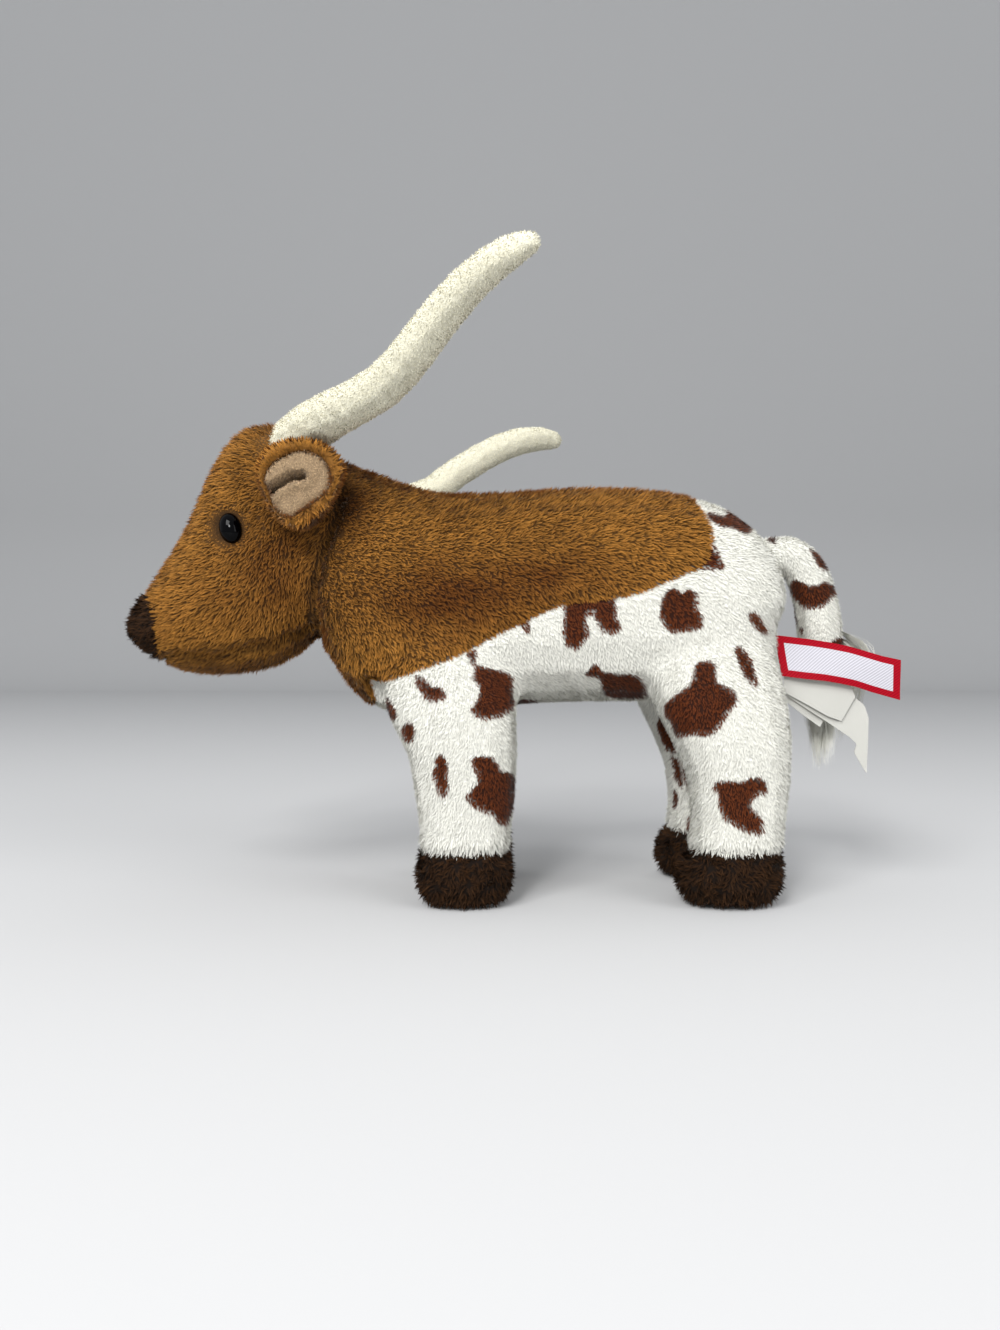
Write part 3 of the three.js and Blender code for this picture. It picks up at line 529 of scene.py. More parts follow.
comb = {
    # On the picture: where, and which way the pile lies there, across and up.
    "head": [
        (250, 440, -0.8, -0.3), (215, 500, -0.7, -0.7), (265, 520, -0.55, -0.8), (180, 570, -0.8, -0.6),
        (165, 620, -0.95, -0.35), (200, 600, -0.9, -0.5), (240, 590, -0.75, -0.65), (285, 580, -0.1, -0.99),
        (210, 645, -0.85, -0.5), (260, 635, -0.45, -0.9), (300, 620, -0.1, -1), (230, 670, -0.9, -0.3),
        (310, 480, -0.2, -0.9), (135, 620, -0.7, -0.5), (265, 580, -0.2, -0.95),
    ],
    "body": [
        (345, 480, 0.75, -0.65), (350, 560, 0.97, -0.25), (340, 620, 0.9, -0.4), (420, 520, 0.95, -0.2),
        (500, 520, 0.98, -0.15), (600, 520, 0.98, -0.15), (420, 620, 0.8, -0.55), (360, 670, 0.4, -0.9),
        (520, 600, 0.8, -0.55), (650, 560, 0.85, -0.5), (540, 640, 0.45, -0.9), (740, 540, 0.8, -0.6),
        (760, 620, 0.3, -0.95), (640, 630, 0.3, -0.95), (700, 720, 0.05, -1), (450, 740, -0.3, -1),
        (400, 700, -0.2, -0.95), (740, 820, 0, -1), (460, 830, -0.3, -1), (580, 680, 0.3, -0.9),
    ],
}


def combed(seen, anchors):
    total = np.zeros((len(seen), 3))
    for u, v, across, up in anchors:
        weight = 1 / (((seen - (u, v)) ** 2).sum(1) + 400) ** 1.6
        total += np.outer(weight, (across, 0, up))
    return unit(total)


body = {
    "hoofTop": 15.2,
    "legTop": 50,
    "brownLowest": 25,
    "noseLowest": 40,
    "inset": 1.1,  # from the outline to the fabric's ground
    "lowest": 0.3,
    "seamDepth": 0.7,
    "neckDepth": 1.3,
    "crimpDepth": 0.25,
    "wrinkles": (292, 585),  # upright ones, where the cheek meets the neck
    "waist": (787, 628),  # drawn in where the labels are sewn on
    "waistDepth": 2.2,
    "hoofMiddle": 7.5,
    "hoofFlare": 0.1,
    "sole": 3.2,
    "eye": (228.5, 527),
    "eyeDepth": 0.9,
    "eyeRim": 13,  # the pile is at its shortest inside it
}


def regionsOf(places):  # how far inside the brown fabric, the nose and the head
    seen = showsAt(places)
    return seen, *(insideBy(seen, outlines[name]) * unitSize for name in ("brown", "nose", "head"))


def carved(places):  # how far each place goes in, for seams, folds and the pile's depth
    seen, brownBy, noseBy, headBy = regionsOf(places)
    z = places[:, 2]
    seam = body["seamDepth"]
    eyeGap = gapTo(seen, body["eye"]) * unitSize
    depth = np.full(len(places), body["inset"])
    for distance, deep, width in (
        (brownBy, seam * (z > body["hoofTop"] + 6), 1.1),
        (noseBy, seam * 0.9 * (headBy > 0), 0.9),
        (distanceTo(seen, lines["neck"]) * unitSize, body["neckDepth"], 1.4),
        (distanceTo(seen, lines["chin"]) * unitSize, seam * 1.8, 0.9),
        (gapTo(seen, body["waist"]), body["waistDepth"], 19),
        (z - body["hoofTop"], seam * 1.6, 1.0),
        (z - body["sole"], seam * 0.9, 0.8),
        (z - body["hoofMiddle"], -body["hoofFlare"], 3.6),
        (eyeGap, body["eyeDepth"] * (np.abs(places[:, 1]) > 12), 3.6),
    ):
        depth += deep * fades(distance, width)
    wrinkled = fades(np.linalg.norm((seen - body["wrinkles"]) * (1, 0.7), axis=1), 24)
    depth += 0.3 * wrinkled * np.sin(seen[:, 0] * 0.9 + 1.2 * ripples(places, 9, 10))
    rough = 0.15 + 0.85 * smoothStep(brownBy, -0.5, 0.5)
    return depth + rough * (body["crimpDepth"] * ripples(places, 6, 11) + 0.1 * ripples(places, 2.6, 12))


ends = ("front", "hind")
bodyNodes = {
    "head": ["head_filling", "face_left", "face_right", "chin_panel"],
    "nose": ["nose_cap"],
    "back": ["torso_filling", "saddle_left", "saddle_right"],
    "flanks": ["flank_left", "flank_right", "belly_panel"],
    "legs": [f"leg_{end}_{side}_{part}" for end in ends for side in sides for part in ("cover", "filling")],
    "hooves": [f"{part}_{end}_{side}" for part in ("hoof", "hoof_sole") for end in ends for side in sides],
}


def middleOf(node):
    low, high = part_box(node)
    return (low + high) * 500


jointAt = {joint["name"]: Vector(joint["pos_m"]) * 1000 for joint in frame["joints"]}
farHornSunk = 3.3  # the far horn's root sits lower, behind the ear
seatSize = {"horn": 7.9, "ear": 4.2, "tail": 5.8}
hornSeats = [jointAt["left_horn_bend"], jointAt["right_horn_bend"] - Vector((0, 0, farHornSunk))]
seats = [(place, seatSize["horn"]) for place in hornSeats]
seats += [(jointAt[side + "_ear_flap"], seatSize["ear"]) for side in sides]
seats += [(jointAt["tail_lift"], seatSize["tail"])]

skinPlaces, skinTriangles = clothBody("skin", sum(bodyNodes.values(), []), seats)
outerTree = BVHTree.FromPolygons(skinPlaces.tolist(), skinTriangles.tolist())
skinPlaces = pressed(skinPlaces, skinTriangles, carved(skinPlaces))[0]
skinPlaces[:, 2] = np.maximum(skinPlaces[:, 2], body["lowest"])
skinNormals = vertexNormals(skinPlaces, skinTriangles)
skinTree = BVHTree.FromPolygons(skinPlaces.tolist(), skinTriangles.tolist())
placed = placedSpots(skinTree)
print("skin", len(skinTriangles), "triangles, spots", len(placed))


# Patches of painted shade on the brown fabric: beside the ear, on the cheek and neck, low on the back and
# under the chin. One, with a negative strength, is painted light instead. Each gives where, how wide, how
# much.
paintedShadingPatches = [
    ((275, 565), (42, 52), 0.62), ((350, 506), (24, 30), 0.7), ((450, 598), (95, 38), 0.9),
    ((560, 572), (70, 26), 0.5), ((345, 655), (34, 34), -0.2), ((300, 520), (30, 30), 0.25),
    ((200, 600), (50, 40), 0.15), ((250, 670), (60, 9), 0.5),
]


def bodyCloth(places, normals, ground=False):
    seen, brownBy, noseBy, headBy = regionsOf(places)
    z = places[:, 2]
    wave = ripples(places, 1.6, 21) * 0.18
    hoof = z < body["hoofTop"] + wave
    brown = (brownBy + wave > 0) & (z > body["brownLowest"])
    nose = (noseBy + wave * 0.5 > 0) & (z > body["noseLowest"])
    napped = brown | hoof | nose
    spotBy = np.maximum(spottedBy(places, placed, spotReach), spottedOutOfSight(places))
    spotted = spotShare(places, spotBy, 23, ground)
    # darker brown at random, plus painted shade (and, where the strength is negative, painted light) from the
    # patches
    deep = 0.12 + 0.1 * ripples(places, 9, 24)
    for place, size, strength in paintedShadingPatches:
        deep = deep + strength * np.exp(-(((seen - place) / size) ** 2).sum(1))
    onHead = smoothStep(headBy, -2, 2)
    brownTone = blend("brown", "brownDeep", np.clip(deep, 0, 1)) * (1 - 0.08 * onHead)[:, None]
    colour = np.where(brown[:, None], brownTone, blend("white", "spot", spotted))
    colour = np.where((hoof | nose)[:, None], colours["dark"], colour)
    tone = 0.07 * ripples(places, 4, 25) * np.where(napped, 1, 0.2)
    eyeGap = gapTo(seen, body["eye"])
    crease = np.minimum(distanceTo(seen, lines["chin"]), distanceTo(seen, lines["neck"]) * 0.8) * unitSize
    shade = (1 + tone) * (0.5 + 0.5 * smoothStep(eyeGap, body["eyeRim"], 18))
    shade = shade * (1 - 0.6 * fades(crease, 0.9) * brown)
    onHead = onHead[:, None]
    way = combed(seen, comb["head"]) * onHead + combed(seen, comb["body"]) * (1 - onHead)
    outward = np.stack([np.zeros(len(z)), np.sign(places[:, 1]) * 0.25, np.zeros(len(z))], 1)
    way = way + outward * (np.abs(normals[:, 1]) < 0.5)[:, None]
    swirl = np.stack([ripples(places, 5, seed) for seed in (28, 29, 30)], 1)
    way = way + swirl * np.where(hoof | nose, 1.3, 0.22)[:, None]
    under = (normals[:, 2] < -0.6) & ~hoof
    way = np.where(under[:, None], way * [1, 1, 0] + [0.3, 0, 0] * (1 - 2 * onHead), way)
    length = np.where(brown | hoof, 1.0, 0.9 + 0.5 * (z < body["hoofTop"] + 3.5))
    length = length * (1 - 0.35 * fades(brownBy, 0.6) + 0.35 * fades(gapTo(seen, (690, 545)), 22))
    length = length * (1 + 0.1 * ripples(places, 2.5, 26))
    hornGap = np.min([gapTo(places, place) for place in hornSeats], axis=0)
    length = length * (0.3 + 0.7 * smoothStep(hornGap, 8.5, 12.5)) * smoothStep(eyeGap, body["eyeRim"], 28)
    length = length * np.where((z < 1.5) & (normals[:, 2] < -0.5), 0.15, 1)
    return {
        "colour": colour * shade[:, None],
        "comb": way,
        "length": np.maximum(length, 0.12),
        "lift": ripples(places, 2.2, 27) * np.where(napped, 0.2, 0.07),
        "dark": np.where(napped, 0, spotted),
    }


shortPile = {
    "tufts": 3, "fibres": 6, "length": 1.9, "width": 0.18, "lean": 0.92, "leanSpread": 0.15,
    "wander": 0.26, "spread": 0.32, "gather": 0.15, "toneSpread": 0.16, "softness": 0.58,
    "rootShade": 0.23, "groundShade": 0.15,
}
whitePile = shortPile | {
    "tufts": 4, "fibres": 5, "length": 1.4, "wander": 0.3, "spread": 0.27, "toneSpread": 0.025,
    "softness": 0.75, "rootShade": 0.76, "groundShade": 0.66,
}
hoofPile = shortPile | {
    "tufts": 2.4, "fibres": 8, "length": 2.1, "lean": 1.0, "leanSpread": 0.3, "wander": 0.5,
    "spread": 0.36, "toneSpread": 0.3, "softness": 0.45, "rootShade": 0.3,
}

faceMiddles = skinPlaces[skinTriangles].mean(1)
brownFaces, noseFaces, headFaces = regionsOf(faceMiddles)[1:]
heights = faceMiddles[:, 2]
isHoof = heights < body["hoofTop"]
isNose = (noseFaces > 0) & (heights > body["noseLowest"])
isBrown = (brownFaces > 0) & (heights > body["brownLowest"]) & ~isNose
isHead = isBrown & (headFaces > 0)
isWhite = ~(isHoof | isBrown | isNose)
isLeg = isWhite & (heights < body["legTop"])
parts = {
    "head": (isHead, brownPlush, shortPile, "brown_plush"),
    "nose": (isNose, darkPlush, hoofPile | {"length": 2.2}, "dark_plush"),
    "back": (isBrown & ~isHead, brownPlush, shortPile, "brown_plush"),
    "flanks": (isWhite & ~isLeg, whitePlush, whitePile, "spotted_plush"),
    "legs": (isLeg, whitePlush, whitePile, "spotted_plush"),
    "hooves": (isHoof, darkPlush, hoofPile, "dark_plush"),
}
for number, (name, (chosen, finish, pile, slot)) in enumerate(parts.items()):
    used, faces = compact(skinTriangles[chosen])
    surface = (skinPlaces[used], faces, skinNormals[used])
    plushPiece(name + "Plush", "body", surface, pile, bodyCloth, finish, 100 + number, bodyNodes[name])

# Horns: short fleece over a stuffed tube

hornPile = shortPile | {
    "tufts": 8, "fibres": 3, "length": 0.75, "lean": 1.08, "leanSpread": 0.2, "wander": 3,
    "spread": 0.2, "toneSpread": 0.09, "softness": 0.78, "rootShade": 0.78, "groundShade": 0.68,
}
horn = {
    "seam": [(286, 421), (287, 430), (290, 440)],
    "stitches": [[(514, 237), (516, 243)], [(520, 247), (525, 252)], [(528, 247), (531, 251)]],
    "inset": 0.55,
    "seat": 6.5,
}


def hornCloth(root, tip):
    way = unit(np.array([tip - root]))[0]

    def cloth(places, normals, ground=False):
        tone = 1 + 0.02 * ripples(places, 5, 31) + 0.02 * ripples(places, 1.2, 32)
        for stitch in horn["stitches"]:
            tone = tone - 0.4 * (distanceTo(showsAt(places), stitch) < 0.9)
        return evenCloth(tone, "cream", way)

    return cloth


for side in sides:
    root = jointAt[side + "_horn_bend"]
    nodes = [f"horn_{side}_cover", f"horn_{side}_filling"]
    places, triangles = clothBody("horn", nodes, [(root, horn["seat"])], voxel=0.9, smoothing=14)
    depth = horn["inset"] + 0.08 * ripples(places, 4, 33) + 0.03 * ripples(places, 1.5, 34)
    depth += 0.3 * fades(distanceTo(showsAt(places), horn["seam"]), 1.3)
    places, normals = pressed(places, triangles, depth)
    root = np.array(root)
    if side == "right":
        places[:, 2] -= farHornSunk * fades(gapTo(places, root), 24)
        normals = vertexNormals(places, triangles)
    tip = places[gapTo(places, root).argmax()]
    surface = (places, triangles, normals)
    plushPiece(side + "Horn", side + "_horn", surface, hornPile, hornCloth(root, tip), fleece,
               200 + (side == "left"), nodes)

# Ears: a plush back round a suede lining that folds in on itself

ear = {
    "out": 31,  # how far its mouth stands from the toy's middle
    "rim": [
        (260, 484), (257, 471), (261, 458), (270, 447), (285, 441), (302, 440), (317, 442), (329, 448),
        (338, 457), (343, 467), (341, 478), (336, 489), (330, 500), (323, 511), (315, 520), (306, 526),
        (297, 528), (287, 524), (279, 517), (271, 508), (265, 496),
    ],
    "lining": [
        (265, 482), (266, 474), (271, 466), (279, 460), (288, 455), (297, 452), (307, 452), (316, 455),
        (324, 461), (329, 470), (331, 479), (329, 488), (322, 496), (315, 501), (307, 506), (299, 512),
        (292, 517), (284, 517), (278, 513), (274, 506), (272, 497), (269, 490),
    ],
    "centre": (300, 484),
    "slit": [(262, 495), (271, 491), (282, 484), (292, 478), (303, 477)],
    "slitDepth": 5.5,
    "slitWidth": 0.9,
    "puff": 1.4,
    "grid": (30, 96),  # rows and columns
    # From the lining's edge round the rim and down to the root: how far towards the rim, how wide,
    # and how far out.
    "back": [(0, 1, -0.5), (0.1, 1, 0.4), (0.45, 1, 1.2), (0.85, 1, 0.4), (1, 0.99, -1.4), (1, 0.96, -4),
             (1, 0.86, -7.5), (1, 0.66, -11), (1, 0.42, -14)],
}
suede = yarnFinish("earSuede", roughness=0.8, sheen=0.4, tint=(1, 0.85, 0.7))


def earSurface(side):
    rows, columns = ear["grid"]
    shift = middleOf("ear_back_" + side).x - middleOf("ear_back_left").x
    sign = -1 if side == "left" else 1
    real = lambda points: onPlane(points, ear["out"]) + (shift, 0)
    middle = real(ear["centre"])
    root = np.array(jointAt[side + "_ear_flap"])
    angles = np.linspace(0, 2 * math.pi, columns, endpoint=False)

    def radii(corners):  # of a smooth closed outline round the ear's middle
        points = real(corners) - middle
        turn, far = np.arctan2(points[:, 1], points[:, 0]), np.hypot(*points.T)
        order = turn.argsort()
        values = np.interp(angles, turn[order], far[order], period=2 * math.pi)
        return sum(np.roll(values, k) * w for k, w in ((-2, 0.1), (-1, 0.2), (0, 0.4), (1, 0.2), (2, 0.1)))

    liningRadii, rimRadii = radii(ear["lining"]), radii(ear["rim"])

    def ring(reach, out, toRoot=0.0):
        plane = middle + np.stack([np.cos(angles), np.sin(angles)], 1) * reach[:, None]
        plane = plane * (1 - toRoot) + root[[0, 2]] * toRoot
        return np.stack([plane[:, 0], np.full(columns, sign * out), plane[:, 1]], 1)

    slit = real(ear["slit"])
    lining = []
    for share in np.arange(1, rows + 1) / rows:
        place = ring(liningRadii * share, ear["out"] - 0.3)
        rimGap = liningRadii * (1 - share)
        dome = ear["puff"] * np.sqrt(np.clip(1 - (1 - np.minimum(rimGap / 2.4, 1)) ** 2, 0, 1))
        gap = distanceTo(place[:, [0, 2]], slit)
        tuck = ear["slitDepth"] * fades(gap, ear["slitWidth"])
        place[:, 1] += sign * np.maximum(dome + 0.7 * fades(gap - 2.3, 1.3) - tuck, -ear["slitDepth"] + 1)
        lining.append(place)
    keys = np.array(ear["back"])
    back = []
    for share in np.arange(rows + 1) / rows:
        at = share**1.3 * (len(keys) - 1)
        toRim, wide, out = (np.interp(at, np.arange(len(keys)), keys[:, k]) for k in range(3))
        reach = liningRadii * (1 - toRim) + rimRadii * toRim
        back.append(ring(reach * wide, ear["out"] + out, (1 - wide) * 0.8))
    return lining, back, sign


def gridOf(rings, atStart):  # closed through the middle of its first or last ring
    count = len(rings[0])
    places = np.vstack(rings)
    here = np.arange(len(places)).reshape(len(rings), count)
    after = np.roll(here, -1, 1)
    halves = (here[:-1], after[:-1], after[1:]), (here[:-1], after[1:], here[1:])
    walls = np.stack([np.stack(half, -1) for half in halves], 1).reshape(-1, 3)
    end = 0 if atStart else -1
    cap = np.stack([here[end], after[end], np.full(count, len(places))], 1)
    return np.vstack([places, rings[end].mean(0)]), np.vstack([walls, cap[:, ::-1] if atStart else cap])


def earCloth(sign):
    def cloth(places, normals, ground=False):
        # painted shade low on the ear's right, where it meets the neck, over darker brown at random
        low = fades(gapTo(showsAt(places), (318, 524)), 13)
        colour = blend("brown", "brownDeep", 0.3 * (0.5 + 0.5 * ripples(places, 7, 41) + 2.5 * low))
        way = unit(places - places.mean(0)) * [1, 0, 1] + [0, sign * 0.9, 0]
        return {"colour": colour, "comb": way, "length": np.full(len(places), 0.95)}

    return cloth


def liningCloth(places, normals, ground=False):
    tone = 1 + 0.04 * ripples(places, 3, 42) + 0.06 * ripples(places, 0.9, 43)
    return evenCloth(tone, "tan", [0.2, 0, -1])


earPile = shortPile | {"rootShade": 0.42, "groundShade": 0.4}
suedePile = hornPile | {"toneSpread": 0.13, "softness": 0.7, "rootShade": 0.55, "groundShade": 0.45}
for side in sides:
    lining, back, sign = earSurface(side)
    for name, rings, cloth, pile, finish, slot, node in (
        ("Ear", back, earCloth(sign), earPile, brownPlush, "brown_plush", "ear_back_"),
        ("EarLining", lining, liningCloth, suedePile, suede, "tan_suede", "ear_lining_"),
    ):
        places, triangles = gridOf(rings, atStart=name == "EarLining")
        normals = vertexNormals(places, triangles)
        outward = places - places.mean(0) if name == "Ear" else [0, sign, 0]
        if (normals * outward).sum() < 0:
            triangles, normals = triangles[:, ::-1], -normals
        plushPiece(side + name, side + "_ear", (places, triangles, normals), pile, cloth, finish,
                   300 + len(name) + (side == "left"), [node + side])

# Tail: a spotted tube with a tuft of long fur

tailSpots = [
    [(786, 587), (789, 581), (796, 578), (804, 582), (810, 585), (817, 584), (824, 580), (832, 584),
     (838, 591), (831, 599), (824, 606), (814, 609), (804, 608), (797, 602), (788, 599)],
    [(808, 549), (814, 550), (822, 555), (829, 568), (824, 571), (818, 567), (814, 560)],
    rootSpot,
    [(795, 620), (800, 622), (804, 629), (803, 634), (799, 632)],
    [(829, 641), (836, 637), (848, 635), (848, 652), (830, 650)],
]
tail = {"root": jointAt["tail_lift"], "seat": 4.6, "inset": 0.8, "spotDepth": 5, "spotReach": (3, 0.5)}
tailPlaced = [(-1, np.array(outline, float), tail["root"].y - tail["spotDepth"]) for outline in tailSpots]
tailPlaced += [
    (1, turned(outline, number) + (0, 17), tail["root"].y + tail["spotDepth"])
    for number, outline in enumerate(tailSpots)
]


def tailCloth(places, normals, ground=False):
    spotted = spotShare(places, spottedBy(places, tailPlaced, tail["spotReach"]), 51, ground)
    count = len(places)
    way = np.stack([0.6 - (places[:, 0] - viewX - 80) * 0.04, np.zeros(count), np.full(count, -1)], 1)
    colour = blend("white", "spot", spotted)
    return {"colour": colour, "comb": way, "length": np.full(count, 0.8), "dark": spotted}


nodes = ["tail_cover", "tail_filling"]
places, triangles = clothBody("tail", nodes, [(tail["root"], tail["seat"])], voxel=0.9, smoothing=10)
places, normals = pressed(places, triangles, tail["inset"] + 0.06 * ripples(places, 4, 52))
plushPiece("tailPlush", "tail", (places, triangles, normals), whitePile, tailCloth, whitePlush, 400,
           nodes)

tuft = {
    "locks": 60, "hairs": 46, "joints": 9, "width": 0.17, "spread": 6.4, "lockWidth": 1.2, "curl": 2.2,
    "drift": 7.0, "wave": 0.45, "outerRise": 14,
}
low, high = (corner * 1000 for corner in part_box("tail_tuft"))


def ladder(count):  # triangles between places that lie in pairs
    steps = np.arange(0, count - 2, 2)
    halves = (steps, steps + 1, steps + 3), (steps, steps + 3, steps + 2)
    return np.stack([np.stack(half, 1) for half in halves], 1).reshape(-1, 3)


def tailTuft():
    dice = np.random.default_rng(77)
    locks, hairs = tuft["locks"], tuft["hairs"]
    strands = locks * hairs
    lock = np.repeat(np.arange(locks), hairs)
    angle, far = dice.uniform(0, 2 * math.pi, locks), np.sqrt(dice.random(locks))
    outer = np.clip(np.cos(angle), 0, 1) * far  # locks away from the rump start and end high, and stand out
    far = far * (1 - 0.5 * (np.cos(angle) < 0))
    reach = (dice.uniform(0.6, 1.0, locks) * (1 - 0.3 * outer))[lock] * dice.uniform(0.7, 1, strands)
    curlWay = dice.uniform(0, 2 * math.pi, locks)
    stray = dice.normal(size=(strands, 2)) * tuft["lockWidth"]
    phase = dice.uniform(0, 2 * math.pi, (strands, 2))
    top = np.array([(low.x + high.x) / 2, (low.y + high.y) / 2, high.z + 4])
    top = top + np.outer(outer, (0, 0, tuft["outerRise"]))
    length = top[:, 2] - low.z - 1
    turn = angle[lock] + stray[:, 0] * 0.2
    side = np.stack([-np.sin(turn + 0.6), np.cos(turn + 0.6), np.zeros(strands)], 1)
    rows = []
    for t in np.linspace(0, 1, tuft["joints"]):
        radius = far * tuft["spread"] * (0.35 + 0.65 * eased(t * 2.5) - max(0, t - 0.5))
        curl = tuft["curl"] * t * t
        loose = eased(t * 2) * (1 - 0.75 * max(0, t - 0.4) / 0.6)  # to a point at its end
        x = top[:, 0] + np.cos(angle) * radius + np.cos(curlWay) * curl + tuft["drift"] * outer * eased(t * 3)
        y = top[:, 1] + np.sin(angle) * radius + np.sin(curlWay) * curl
        plane = np.stack([x, y], 1)[lock] + stray * loose + tuft["wave"] * t * np.sin(5 * t + phase)
        middle = np.column_stack([plane, top[lock, 2] - length[lock] * t * reach])
        half = tuft["width"] / 2 * (1 - 0.85 * t)
        rows += [middle - side * half, middle + side * half]
    count = len(rows)
    base = ladder(count)
    triangles = (np.arange(strands)[:, None, None] * count + base[None]).reshape(-1, 3)
    outward = unit(np.stack([np.cos(turn), np.sin(turn), np.full(strands, 0.1)], 1))
    flat = np.stack(rows, 1).reshape(-1, 3)
    inward = (crossOf(flat, triangles) * np.repeat(outward, len(base), axis=0)).sum(1) < 0
    triangles[inward] = triangles[inward][:, ::-1]
    tone = (1 + dice.normal(size=locks) * 0.05)[lock] * (1 + dice.normal(size=strands) * 0.04)
    shade = tone[:, None, None] * np.linspace(0.8, 1.0, count)[None, :, None]
    colour = np.clip((colours["white"][None, None] * shade).reshape(-1, 3), 0, 1)
    return flat, triangles, colour, np.repeat(outward, count, axis=0)


longFur = yarnFinish("longFur", roughness=0.6, sheen=0.1)
tuftPlaces, tuftTriangles, tuftColours, tuftNormals = tailTuft()
tuftPiece = newMesh("tailTuft", tuftPlaces, tuftTriangles, longFur, tuftColours, tuftNormals)
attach(tuftPiece, "tail")
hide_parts("tail_tuft")
print("tail and tuft", len(tuftTriangles))

# Eyes: glossy black ovals, pressed into the face

eyes = {"size": (3.0, 4.25, 2.5), "lean": 0.29, "sunk": 1.2}
eyeBlack = plain("eyeBlack", linear(1, 1, 2), 0.05, **{"Specular IOR Level": 0.08})
for side, sign in (("left", -1), ("right", 1)):
    hit, normal = castFrom(outerTree, sign, body["eye"])[:2]
    bpy.ops.object.select_all(action="DESELECT")
    bpy.ops.mesh.primitive_uv_sphere_add(segments=48, ring_count=32, radius=0.001, location=(0, 0, 0))
    eye = bpy.context.object
    eye.name = side + "Eye"
    eye.scale = eyes["size"]
    bpy.ops.object.transform_apply(location=False, rotation=False, scale=True)
    outWay = Vector((normal.x * 0.7 - 0.1, normal.y, normal.z * 0.7)).normalized()
    acrossWay = Vector((-eyes["lean"], 0, 1)).cross(outWay).normalized()
    upWay = outWay.cross(acrossWay)
    centre = (hit - outWay * eyes["sunk"]) / 1000
    for vertex in eye.data.vertices:
        x, y, z = vertex.co
        vertex.co = centre + acrossWay * x + upWay * y + outWay * z
    eye.data.update()
    bpy.ops.object.shade_smooth()
    eye.data.materials.append(eyeBlack)
    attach(eye, "body")
    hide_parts("eye_" + side, "eye_washer_" + side)
print("eyes")

# Labels


def along(points, shares):  # evenly through a line's corners
    points = np.array(points, float)
    lengths = np.concatenate([[0], np.cumsum(np.hypot(*np.diff(points, axis=0).T))])
    return np.stack([np.interp(shares * lengths[-1], lengths, points[:, k]) for k in range(2)], 1)


def strip(title, leaf, bend, finish, cuts=40):  # a thin woven sheet between its upper and lower edges
    shares = np.linspace(0, 1, cuts + 1)
    upper, lower = (onPlane(along(leaf[edge], shares), leaf["out"]) for edge in ("upper", "lower"))
    s, t = (grid.ravel() for grid in np.meshgrid(shares, shares, indexing="ij"))
    plane = np.repeat(upper, cuts + 1, 0) * (1 - t)[:, None] + np.repeat(lower, cuts + 1, 0) * t[:, None]
    front = np.stack([plane[:, 0], -leaf["out"] + bend(s, t), plane[:, 1]], 1)
    back = front + [0, leaf["thickness"], 0]
    count = (cuts + 1) ** 2
    index = np.arange(count).reshape(cuts + 1, cuts + 1)
    quads = np.stack([index[:-1, :-1], index[1:, :-1], index[1:, 1:], index[:-1, 1:]], -1).reshape(-1, 4)
    triangles = np.vstack([quads[:, :3], quads[:, [0, 2, 3]]])
    edge = np.concatenate([index[0], index[1:, -1], index[-1, -2::-1], index[-2:0:-1, 0]])
    after = np.roll(edge, -1)
    walls = [np.stack([edge, after, after + count], 1), np.stack([edge, after + count, edge + count], 1)]
    triangles = np.vstack([triangles[:, ::-1], triangles + count, *walls])
    obj = newMesh(title, np.vstack([front, back]), triangles, finish)
    uv = obj.data.uv_layers.new(name="cloth")
    st = np.tile(np.stack([s, t], 1), (2, 1))
    uv.data.foreach_set("uv", st[triangles.ravel()].astype(np.float32).ravel())
    choose(obj)
    inEditMode(bpy.ops.mesh.normals_make_consistent, inside=False)
    bpy.ops.object.shade_smooth_by_angle(angle=math.radians(50))
    return obj


def calc(tree, kind, first, second=0):
    node = tree.nodes.new("ShaderNodeMath")
    node.operation = kind
    for socket, value in zip(node.inputs, (first, second)):
        if isinstance(value, (int, float)):
            socket.default_value = value
        else:
            tree.links.new(value, socket)
    return node.outputs[0]


def twillGroup():  # a fine diagonal weave, as a shade and as a height
    group = bpy.data.node_groups.new("twill", "ShaderNodeTree")
    for name, way, kind in (
        ("Place", "INPUT", "Vector"), ("Across", "INPUT", "Float"), ("Along", "INPUT", "Float"),
        ("Shade", "OUTPUT", "Float"), ("Height", "OUTPUT", "Float"),
    ):
        group.interface.new_socket(name, in_out=way, socket_type="NodeSocket" + kind)
    given, result = (group.nodes.new("NodeGroup" + kind) for kind in ("Input", "Output"))
    split = group.nodes.new("ShaderNodeSeparateXYZ")
    group.links.new(given.outputs["Place"], split.inputs[0])
    pairs = ("X", "Across"), ("Y", "Along")
    turns = [calc(group, "MULTIPLY", split.outputs[axis], given.outputs[name]) for axis, name in pairs]
    height = calc(group, "SINE", calc(group, "ADD", *turns))
    shade = calc(group, "ADD", calc(group, "MULTIPLY", height, 0.16), 0.86)
    group.links.new(shade, result.inputs["Shade"])
    group.links.new(height, result.inputs["Height"])
    return group


twill = twillGroup()


